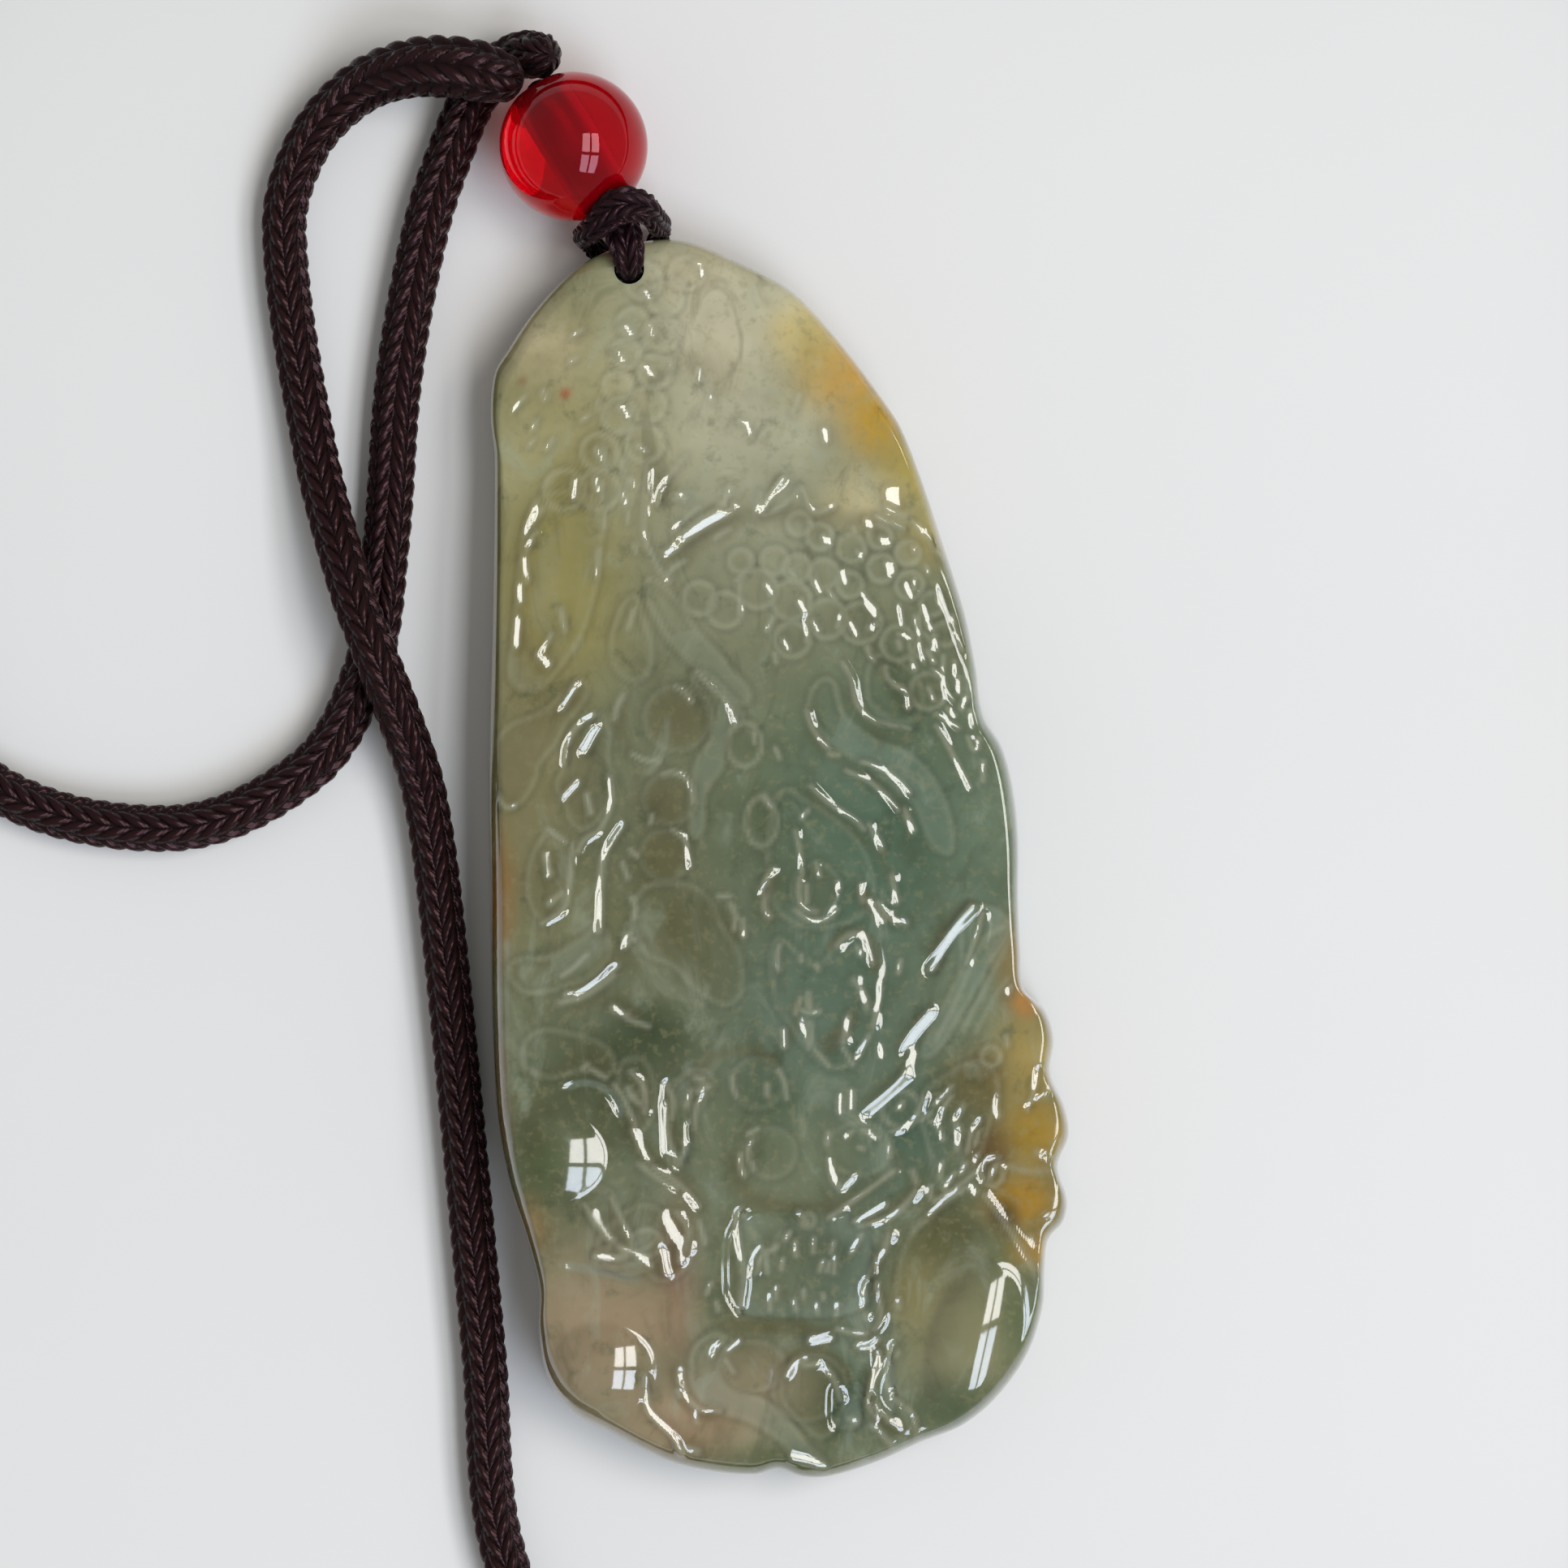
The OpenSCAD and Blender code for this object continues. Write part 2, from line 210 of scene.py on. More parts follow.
# Hitch, the pair of strands and the bight that wraps it: x, y, z, half width, half height
FRONT_ROWS = [
    (-12.7, 40.95, 4.0, 0.85, 0.85), (-9.6, 35.9, 4.0, 0.85, 0.85), (-8.6, 34.3, 4.05, 0.86, 0.80),
    (-8.35, 33.6, 4.6, 0.95, 0.62), (-8.2, 33.0, 5.0, 0.95, 0.58), (-8.05, 32.35, 4.9, 0.88, 0.56),
    (-8.0, 31.72, 4.35, 0.70, 0.56), (-8.0, 31.6, 3.3, 0.66, 0.62), (-8.0, 31.6, 1.6, 0.66, 0.62),
]
BIGHT_ROWS = [
    (-8.35, 31.75, 0.65, 0.48, 0.50), (-9.3, 32.4, 0.6, 0.57, 0.50), (-10.15, 33.2, 1.0, 0.57, 0.50),
    (-10.5, 33.45, 2.4, 0.57, 0.50), (-10.45, 33.45, 4.0, 0.60, 0.52), (-9.9, 33.7, 5.7, 0.74, 0.52),
    (-8.4, 34.8, 6.75, 0.95, 0.52), (-7.1, 34.7, 6.2, 0.82, 0.52), (-6.6, 34.2, 4.7, 0.76, 0.50),
    (-6.3, 34.05, 2.8, 0.69, 0.50), (-6.45, 33.6, 1.2, 0.67, 0.50), (-6.9, 32.6, 0.6, 0.57, 0.50),
    (-7.45, 32.0, 0.65, 0.48, 0.50),
]
FRONT_BRAID = {"sides": 48, "columns": 8, "pitch": 0.7, "slant": 1.3, "depth": 0.28}
BIGHT_BRAID = {"sides": 48, "columns": 8, "pitch": 0.7, "slant": 1.2, "depth": 0.3}
HITCH_STEP = 0.06
front_line, front_run = smooth_line(FRONT_ROWS, HITCH_STEP)
front = tube("hitch_pair", front_line, front_run, front_line[:, 3], front_line[:, 4], (1, 0, 0), FRONT_BRAID)
bight_line, bight_run = smooth_line(BIGHT_ROWS, HITCH_STEP)
bight = tube("hitch_bight", bight_line, bight_run, bight_line[:, 3], bight_line[:, 4], (0, 1, 0), BIGHT_BRAID)


def lathe(name, profile, middle, axis, sides):
    """A closed profile of (radius, place along the axis) carried round an axis through the middle."""
    profile = np.asarray(profile, float)
    axis = unit(np.asarray(axis, float))
    side_way = unit(np.cross(axis, (0.0, 0.0, 1.0)))
    other_way = np.cross(axis, side_way)
    angle = 2 * math.pi * np.arange(sides) / sides
    ring = side_way * np.cos(angle)[:, None] + other_way * np.sin(angle)[:, None]
    points = np.asarray(middle) + profile[:, None, :1] * ring + profile[:, None, 1:] * axis
    points = np.concatenate([points, points[:1]])
    quads = wrapped_quads(len(points), sides) % (len(profile) * sides)
    return new_object(name, points[:-1].reshape(-1, 3), quads[:, ::-1])


# Bead, with a small round lip at each end of its bore
BEAD_AT = (-11.0, 38.2, 4.0)
BEAD_R = 4.0
BEAD_BORE_R = 1.1
BEAD_LIP = 0.12
BEAD_STEPS, BEAD_SIDES = 96, 128
LIP_STEPS, BORE_STEPS = 6, 9
BORE_TURN = math.radians(31.7)
BORE_WAY = (-math.sin(BORE_TURN), math.cos(BORE_TURN), 0.0)


def bead_profile(outside, bore, lip):
    """Half circle of the bead from one rim of the bore to the other, a small round lip, and the bore's
    wall."""
    rim = math.asin((bore + lip) / outside)
    turn = np.linspace(rim, math.pi - rim, BEAD_STEPS)
    ball = np.stack([outside * np.sin(turn), outside * np.cos(turn)], axis=1)
    edge = outside * math.cos(rim)
    curl = np.linspace(0, math.pi / 2, LIP_STEPS)[1:]
    lower_lip = np.stack([bore + lip * (1 - np.sin(curl)), -edge + lip * (1 - np.cos(curl))], axis=1)
    along = np.linspace(-edge + lip, edge - lip, BORE_STEPS)[1:-1]
    wall = np.stack([np.full(len(along), bore), along], axis=1)
    upper_lip = np.stack([bore + lip * (1 - np.cos(curl)), edge - lip * (1 - np.sin(curl))], axis=1)
    return np.concatenate([ball, lower_lip, wall, upper_lip[:-1]])


bead = lathe("glass_bead", bead_profile(BEAD_R, BEAD_BORE_R, BEAD_LIP), BEAD_AT, BORE_WAY, BEAD_SIDES)

# Clasp: a turned brass barrel in two halves that screw together, with a collar at each end. The profile has
# the radius and the place along the axis
CLASP_AT = (49.5, 4.0, 2.2)
CLASP_SIDES = 96
CLASP_PROFILE = [
    (1.37, -6.9), (1.5, -7.0), (1.7, -6.95), (1.86, -6.8), (1.95, -6.5), (1.95, -5.9), (1.8, -5.75),
    (1.8, -5.6), (2.05, -5.4), (2.18, -5.0), (2.2, -4.4), (2.2, -0.35), (2.14, -0.22), (2.0, -0.15),
    (2.0, 0.15), (2.14, 0.22), (2.2, 0.35), (2.2, 4.4), (2.18, 5.0), (2.05, 5.4), (1.8, 5.6), (1.8, 5.75),
    (1.95, 5.9), (1.95, 6.5), (1.86, 6.8), (1.7, 6.95), (1.5, 7.0), (1.37, 6.9), (1.37, 3.0), (1.37, 0.0),
    (1.37, -3.0),
]
clasp = lathe("barrel_clasp", CLASP_PROFILE[::-1], CLASP_AT, (0, 1, 0), CLASP_SIDES)

# Jade carving: half its width and length, its middle, the height of its side wall and of the crown over it
HALF_W, HALF_L = 15.6, 33.2
MIDDLE_Y = -3.0
RIM_H = 3.4
CROWN_RISE = 4.0
# The back lifts towards the top from this y on, by this much at the very top
LIFT_FROM_Y, BACK_LIFT = 25.0, 1.8
HOLE_AT = (-8.0, 31.6)
HOLE_R = 0.8
# Over this share of the way in from the edge, the grid passes from the outline's own shape to a calmer one
CALM_BY = 0.3
# Share of the crown's rise at each y on the stone
CROWN_Y_SHARE = [
    (-34, 0.55), (-28, 0.85), (-20, 1.0), (-8, 0.98), (4, 0.8), (14, 0.66), (22, 0.46), (34, 0.18),
]

# Outline of the carving from the front, clockwise from the top, and the step of the smooth line through it
OUTLINE_STEP = 0.25
OUTLINE = [
    (-6.9, 33.2), (-4.8, 33.1), (-1.7, 31.8), (0.5, 30.6), (1.9, 29.3), (3.7, 27.2), (5.5, 24.8),
    (6.6, 23.1), (7.7, 20.3), (8.8, 17.0), (10.0, 13.2), (10.6, 10.3), (11.0, 7.7), (12.0, 6.0),
    (12.6, 3.8), (12.9, 1.0), (12.9, -2.0), (13.0, -4.9), (13.2, -7.0), (14.3, -8.1), (14.8, -9.7),
    (14.6, -11.5), (15.4, -13.4), (15.6, -14.9), (15.0, -16.5), (15.5, -18.3), (15.3, -19.5), (14.5, -20.4),
    (14.3, -22.0), (14.2, -24.0), (13.4, -26.5), (11.8, -28.8), (9.9, -30.4), (7.7, -31.3), (5.3, -32.4),
    (2.7, -33.2), (1.2, -33.2), (0, -32.8), (-1.3, -33.1), (-3.8, -32.9), (-6.1, -32.3), (-9.3, -30.7),
    (-11.1, -29.7), (-12.4, -27.8), (-12.9, -25.2), (-12.9, -23.1), (-13.6, -20.2), (-14.5, -17.3),
    (-15.1, -13.8), (-15.4, -8.4), (-15.5, -1.8), (-15.6, 4.7), (-15.4, 13.4), (-15.3, 19.0), (-15.3, 21.8),
    (-15.5, 23.6), (-15.3, 26.0), (-14.6, 27.2), (-13.1, 29.4), (-11.0, 31.6), (-9.5, 32.5),
]

# Soft hills of the relief: middle x, y, half width, half height, rise
HILLS = [
    (2.0, -6.5, 4.5, 5.5, 0.3), (1.6, -15.6, 3.2, 3.4, 0.22), (6.9, -31.0, 2.4, 1.4, 0.15),
    (1.6, 15.2, 6.5, 2.6, 0.4), (8.2, 10.2, 2.4, 4.0, 0.15), (-13.0, 5.0, 1.8, 2.8, 0.15),
    (-6.2, -17.6, 1.2, 1.6, 0.15), (-7.2, -20.0, 1.3, 1.4, 0.16), (1.6, -28.6, 5.0, 1.6, -0.3),
    (13.5, -10.2, 1.3, 2.2, 0.12), (13.9, -14.4, 1.6, 1.5, 0.12), (13.7, -18.4, 1.6, 1.4, 0.12),
    (-2.6, -31.0, 2.6, 1.5, 0.2), (4.4, -31.4, 2.6, 1.2, 0.15), (-12.2, 15.0, 1.8, 4.0, 0.12),
    (-12.0, -2.6, 1.8, 2.4, 0.12), (-10.0, -5.2, 2.0, 0.9, 0.12), (-3.4, 24.0, 4.5, 6.0, -0.2),
    (3.8, 4.8, 2.6, 1.4, 0.1), (-1.2, -27.0, 1.5, 1.3, 0.1), (-3.2, -9.0, 2.2, 2.0, 0.08),
]

# Round caps, which mirror the whole window: middle x, y, half width, half height, rise, turn in degrees
CAPS = [
    (-12.3, -15.85, 3.2, 2.7, 0.72, 0), (-9.4, -27.1, 2.8, 2.5, 0.86, 0),
    (10.35, -25.7, 2.5, 4.6, 1.05, 16),
]
# Share of a cap's height at which its dome runs out into the face
CAP_FOOT = 0.15

# Scales, bosses and eyes: middle x, y, half width, half height, rise of the dome, depth of the groove round
DOMES = [
    (-7.25, 31.0, 0.95, 0.95, 0.16, 0.08), (-4.95, 31.4, 0.85, 0.85, 0.14, 0.08),
    (-6.05, 30.0, 0.85, 0.85, 0.14, 0.08), (-6.2, 28.1, 0.88, 0.88, 0.15, 0.08),
    (-6.6, 26.1, 0.85, 0.85, 0.15, 0.08), (-7.0, 24.3, 0.9, 0.9, 0.16, 0.08),
    (-7.15, 22.2, 0.95, 0.95, 0.18, 0.09), (-8.5, 23.7, 0.9, 0.9, 0.16, 0.08),
    (-9.55, 21.75, 0.95, 0.95, 0.26, 0.12), (-9.6, 19.7, 1.05, 1.05, 0.28, 0.12),
    (-11.45, 19.7, 1.05, 1.05, 0.18, 0.08), (-7.8, 28.7, 0.75, 0.75, 0.12, 0.05),
    (-8.15, 27.05, 0.75, 0.75, 0.12, 0.05), (-8.6, 25.3, 0.75, 0.75, 0.12, 0.05),
    (-4.2, 13.9, 0.85, 0.85, 0.2, 0.08), (-2.85, 13.3, 0.9, 0.9, 0.2, 0.08),
    (-1.1, 14.4, 1.0, 1.0, 0.2, 0.08), (0.7, 13.8, 1.0, 1.0, 0.2, 0.08), (0.75, 11.7, 0.9, 0.9, 0.2, 0.08),
    (2.6, 12.8, 1.0, 1.0, 0.2, 0.08), (4.4, 12.6, 1.05, 1.05, 0.22, 0.08),
    (6.4, 11.5, 0.9, 0.9, 0.18, 0.08), (8.0, 8.95, 0.95, 0.95, 0.26, 0.12),
    (-0.2, 15.9, 0.7, 0.7, 0.1, 0.05), (1.0, 15.5, 0.7, 0.7, 0.1, 0.05), (2.4, 15.2, 0.75, 0.75, 0.1, 0.05),
    (2.2, 17.2, 0.65, 0.65, 0.1, 0.05), (3.9, 16.6, 0.7, 0.7, 0.1, 0.05), (5.4, 17.2, 0.6, 0.6, 0.1, 0.05),
    (5.5, 15.5, 0.7, 0.7, 0.1, 0.05), (6.9, 16.3, 0.6, 0.6, 0.1, 0.05), (7.0, 14.6, 0.7, 0.7, 0.12, 0.05),
    (8.2, 13.6, 0.6, 0.6, 0.1, 0.05), (3.8, 14.6, 0.65, 0.65, 0.1, 0.05), (1.1, 17.9, 0.6, 0.6, 0.08, 0.04),
    (-2.0, 15.9, 0.6, 0.6, 0.08, 0.04), (8.9, 12.0, 0.6, 0.6, 0.1, 0.05), (7.6, 11.4, 0.6, 0.6, 0.1, 0.05),
    (-5.4, 7.5, 1.7, 1.7, 0.34, 0.12), (-5.8, 3.2, 1.35, 1.3, 0.34, 0.12),
    (-6.0, 0.2, 1.3, 1.3, 0.34, 0.12), (-1.8, 6.1, 0.9, 1.15, 0.2, 0.08), (-0.9, 2.0, 0.85, 1.3, 0.2, 0.06),
    (2.0, -1.6, 1.25, 1.3, 0.2, 0.22), (-1.1, -11.9, 1.35, 1.3, 0.08, 0.12),
    (6.55, -13.3, 1.0, 0.95, 0.1, 0.12), (4.3, -15.4, 1.6, 1.4, 0.06, 0.1),
    (-0.4, -15.6, 1.3, 1.3, 0.06, 0.08), (11.3, -10.5, 0.5, 0.5, 0.2, 0.12),
    (11.4, -16.6, 0.55, 0.75, 0.25, 0.14), (1.5, -28.3, 1.7, 1.6, 0.4, 0.12),
    (-1.3, -27.0, 1.6, 1.3, 0.35, 0.05), (1.6, -19.2, 0.3, 0.35, 0.15, 0.08),
    (-7.0, -20.4, 0.8, 0.7, 0.1, 0.05),
]

# Hollows cut back below the face: middle x, y, half width, half height, depth, softness of the wall
HOLLOWS = [
    (1.1, -21.6, 3.9, 2.9, 0.2, 0.14), (-5.4, -13.8, 0.8, 2.2, 0.12, 0.14),
    (3.6, -29.2, 0.9, 1.3, 0.16, 0.14), (5.75, -28.2, 0.5, 1.8, 0.16, 0.14),
]

# Raised bands, such as brows, curls and strands of the mane: half width, rise, then the line they follow
BANDS = [
    (0.9, 0.3, (-5.4, 15.6), (-3.6, 17.6), (-0.5, 18.4), (3.0, 18.2), (6.2, 17.6), (8.4, 15.6), (9.6, 12.0),
     (9.4, 9.2)),
    (0.7, 0.3, (-13.3, 18.4), (-13.7, 15.4), (-13.9, 12.6), (-12.9, 10.5)),
    (0.6, 0.3, (-8.5, 8.6), (-8.3, 6.3), (-7.9, 5.2)),
    (0.7, 0.3, (-11.7, 9.6), (-10.4, 8.6), (-9.6, 8.2)),
    (0.6, 0.32, (-11.8, -6.9), (-10.2, -6.4), (-8.6, -5.2)),
    (0.5, 0.28, (-11.6, -8.1), (-10.0, -7.7), (-8.6, -7.5), (-7.2, -8.6)),
    (0.5, 0.24, (3.6, 9.2), (4.2, 7.9), (5.4, 6.6), (7.6, 6.2)),
    (0.5, 0.26, (1.6, 7.4), (2.4, 5.9), (4.2, 4.7), (6.0, 3.6), (7.2, 1.9)),
    (0.45, 0.24, (1.2, 3.8), (2.6, 2.7), (4.2, 1.4), (5.3, 0.2), (6.2, -1.6)),
    (0.5, 0.3, (0.0, -0.6), (-0.7, -2.0), (-0.4, -3.6)),
    (0.5, 0.35, (4.2, -1.4), (5.0, -2.6), (6.6, -3.4)),
    (0.45, 0.3, (-3.4, -2.6), (-2.6, -3.4), (-2.2, -4.6)),
    (0.4, 0.3, (2.6, -4.9), (3.4, -4.0), (4.4, -3.8), (5.1, -4.8), (5.2, -6.2)),
    (0.5, 0.3, (4.2, -8.0), (3.3, -9.2), (2.4, -10.4)),
    (0.4, 0.25, (1.2, -7.2), (0.9, -8.6), (0.6, -10.2)),
    (0.5, 0.34, (8.1, -5.4), (8.9, -3.6), (10.2, -2.4), (10.9, -3.4), (10.5, -5.2)),
    (0.6, 0.24, (7.9, -8.2), (6.6, -9.9), (6.7, -11.2), (5.6, -12.2), (4.4, -13.4)),
    (0.5, 0.3, (-4.4, -11.4), (-3.2, -10.4), (-1.2, -10.2), (0.4, -11.0)),
    (0.6, 0.32, (-2.2, -15.2), (-2.1, -17.0), (-1.0, -18.2), (1.6, -18.6), (3.6, -18.2), (5.6, -17.0),
     (6.8, -15.4)),
    (0.5, 0.42, (-8.0, -13.6), (-7.2, -15.4), (-6.0, -16.6), (-4.7, -17.8), (-4.0, -19.0)),
    (0.45, 0.3, (-7.7, -11.4), (-7.3, -12.6), (-7.3, -13.8)),
    (0.4, 0.3, (-5.8, -12.2), (-5.8, -13.6), (-5.4, -15.6)),
    (0.6, 0.4, (-5.6, -18.6), (-5.0, -19.8), (-5.4, -21.0), (-6.6, -21.9)),
    (0.5, 0.36, (4.1, -19.2), (5.8, -18.6), (7.2, -17.6), (7.3, -16.4)),
    (0.35, 0.3, (-2.3, -18.6), (-2.5, -20.6), (-2.3, -22.6), (-2.5, -24.2)),
    (0.35, 0.3, (5.9, -19.8), (5.4, -21.2), (5.0, -22.4), (5.6, -23.6), (5.4, -24.8), (3.8, -25.5)),
    (0.45, 0.34, (-3.4, -24.8), (-1.0, -24.9), (1.4, -25.0), (3.2, -25.4)),
    (0.4, 0.42, (0.4, -27.4), (0.9, -26.4), (2.2, -26.2), (3.4, -27.0), (3.8, -28.4)),
    (0.45, 0.45, (4.2, -26.1), (5.3, -26.0), (5.0, -27.6), (4.9, -28.9), (5.6, -29.9), (7.0, -30.6)),
    (0.4, 0.3, (-5.6, -26.8), (-5.4, -28.2), (-4.6, -29.4), (-3.0, -29.8)),
    (0.35, 0.2, (8.0, -18.0), (9.2, -17.4), (10.5, -16.6)),
]

# Outlined forms on a low step: how much darker they look, rise, then the closed outline
FORMS = [
    (0.5, 0.1, (-10.7, -17.7), (-9.1, -17.6), (-8.4, -19.2), (-7.7, -20.8), (-8.8, -20.5), (-9.7, -19.2)),
    (0.2, 0.1, (-9.8, -21.3), (-8.9, -20.6), (-7.6, -20.9), (-6.4, -20.2), (-6.4, -19.3), (-5.9, -18.7),
     (-5.0, -19.2), (-4.7, -20.2), (-4.9, -21.6), (-6.2, -22.4), (-7.4, -21.6), (-8.7, -21.7)),
    (0.16, 0.12, (-14.3, 7.1), (-15.2, 6.0), (-15.4, 4.7), (-15.1, 3.7), (-14.5, 2.7), (-13.7, 3.1),
     (-13.0, 4.2), (-12.7, 5.2), (-11.9, 6.2), (-11.4, 7.2), (-10.7, 8.1), (-10.2, 8.9), (-10.7, 9.5),
     (-11.4, 8.8), (-12.3, 8.0), (-13.3, 7.5)),
    (0.16, 0.12, (-9.5, 7.7), (-9.0, 6.9), (-9.1, 5.5), (-8.9, 4.4), (-9.0, 3.3), (-9.5, 2.3), (-10.4, 1.6),
     (-11.0, 2.0), (-11.4, 3.2), (-11.8, 3.9), (-11.4, 4.9), (-11.3, 6.1), (-10.6, 7.1)),
    (0.14, 0.12, (-11.8, 1.4), (-11.1, 0.7), (-11.0, -0.4), (-11.3, -1.7), (-11.8, -2.7), (-12.5, -3.2),
     (-13.2, -2.2), (-13.3, -0.9), (-13.0, 0.3), (-12.5, 1.2)),
    (-0.06, 0.1, (-13.0, 19.0), (-13.7, 16.5), (-13.9, 13.9), (-14.2, 11.3), (-14.2, 9.5), (-13.0, 9.0),
     (-11.8, 10.1), (-10.6, 11.9), (-9.9, 13.9), (-9.6, 16.2), (-9.5, 18.8), (-11.2, 19.6)),
    (0.12, 0.1, (-7.8, 14.0), (-8.8, 12.2), (-8.8, 10.6), (-8.0, 9.6), (-7.0, 9.9), (-6.8, 11.4),
     (-7.3, 13.0)),
    (-0.14, 0.04, (-4.4, 9.9), (-2.9, 9.0), (-1.9, 7.4), (-2.9, 6.4), (-3.0, 4.9), (-3.9, 3.6), (-4.3, 1.2),
     (-4.7, 3.0), (-4.4, 5.0), (-3.6, 6.6), (-3.6, 8.0)),
    (0.16, 0.08, (-7.2, -1.6), (-5.2, -1.3), (-3.8, -2.0), (-3.0, -3.6), (-2.0, -5.4), (-2.4, -7.6),
     (-4.2, -7.0), (-5.6, -5.6), (-7.0, -5.0), (-7.7, -3.4)),
    (-0.12, 0.06, (-14.2, -5.6), (-12.2, -5.2), (-10.4, -4.2), (-9.4, -3.6), (-9.0, -5.0), (-10.0, -6.2),
     (-11.8, -6.9), (-13.6, -7.0)),
    (0.14, 0.1, (-8.4, -11.0), (-7.3, -10.6), (-6.6, -12.0), (-6.7, -13.6), (-7.4, -14.4), (-8.2, -13.0)),
    (0.14, 0.1, (-5.2, -11.6), (-4.2, -11.2), (-3.4, -11.8), (-4.2, -13.2), (-4.9, -15.0), (-5.5, -16.4),
     (-5.9, -14.4), (-5.8, -12.6)),
    (-0.14, 0.12, (-3.0, -25.4), (-3.2, -27.2), (-2.6, -28.2), (-1.0, -28.8), (0.4, -29.8), (1.6, -31.4),
     (2.4, -32.4), (1.2, -32.2), (0.0, -30.9), (-1.6, -29.9), (-3.6, -29.2), (-4.6, -27.8), (-4.4, -26.0)),
    (0.14, 0.12, (0.4, -27.3), (1.2, -26.5), (2.8, -26.7), (3.6, -28.0), (3.2, -29.6), (2.4, -30.8),
     (1.2, -30.0), (0.2, -28.8)),
    (-0.12, 0.06, (9.9, -3.0), (11.3, -2.6), (12.3, -3.6), (11.2, -5.6), (9.9, -7.8), (8.4, -10.2),
     (7.6, -10.4), (8.6, -8.2), (9.7, -5.8)),
    (0.1, 0.1, (7.6, -12.8), (8.8, -11.6), (10.6, -10.8), (11.6, -11.6), (11.2, -14.0), (10.4, -16.2),
     (8.8, -17.2), (8.0, -15.2)),
    (0.05, 0.1, (-0.1, -4.3), (-0.2, -7.2), (0.6, -8.7), (1.7, -10.2), (2.7, -11.0), (3.9, -10.8),
     (4.7, -9.6), (5.2, -7.8), (5.5, -6.0), (5.0, -4.5), (4.1, -4.0), (3.1, -4.6), (2.0, -5.7),
     (1.0, -5.0)),
    (-0.1, 0.06, (2.6, 9.6), (3.4, 7.8), (5.0, 6.4), (7.2, 5.4), (8.8, 3.2), (9.2, 0.4), (8.2, 0.8),
     (7.2, 3.0), (5.0, 4.8), (2.8, 6.2), (1.6, 8.0)),
    (0.08, 0.08, (0.2, 3.6), (1.6, 3.0), (3.6, 1.6), (4.8, -0.2), (4.9, -2.4), (3.4, -3.4), (1.2, -3.5),
     (-0.3, -2.2), (-0.5, 0.8)),
    (0.05, 0.06, (5.2, 10.8), (6.6, 10.4), (7.6, 9.2), (7.4, 7.6), (6.0, 7.4), (4.8, 8.6)),
    (0.1, 0.0, (10.6, -17.6), (14.0, -22.0), (18.0, -25.0), (14.0, -34.0), (8.4, -34.0), (7.2, -30.6),
     (6.4, -28.6), (6.2, -25.6), (6.4, -22.0), (7.2, -19.8), (8.8, -18.4)),
    (-0.1, 0.05, (-7.0, 14.8), (-6.0, 12.0), (-4.6, 10.4), (-3.2, 9.2), (-1.6, 8.4), (-2.6, 10.2),
     (-4.4, 12.2), (-5.6, 14.0)),
    (0.16, 0.1, (-12.9, -9.2), (-10.6, -9.4), (-9.0, -10.2), (-8.9, -11.4), (-10.4, -11.2), (-12.2, -11.6),
     (-13.6, -10.8)),
    (0.14, 0.08, (-9.6, -20.8), (-8.4, -19.0), (-7.0, -18.4), (-5.9, -19.2), (-6.4, -21.2), (-8.0, -22.0)),
]

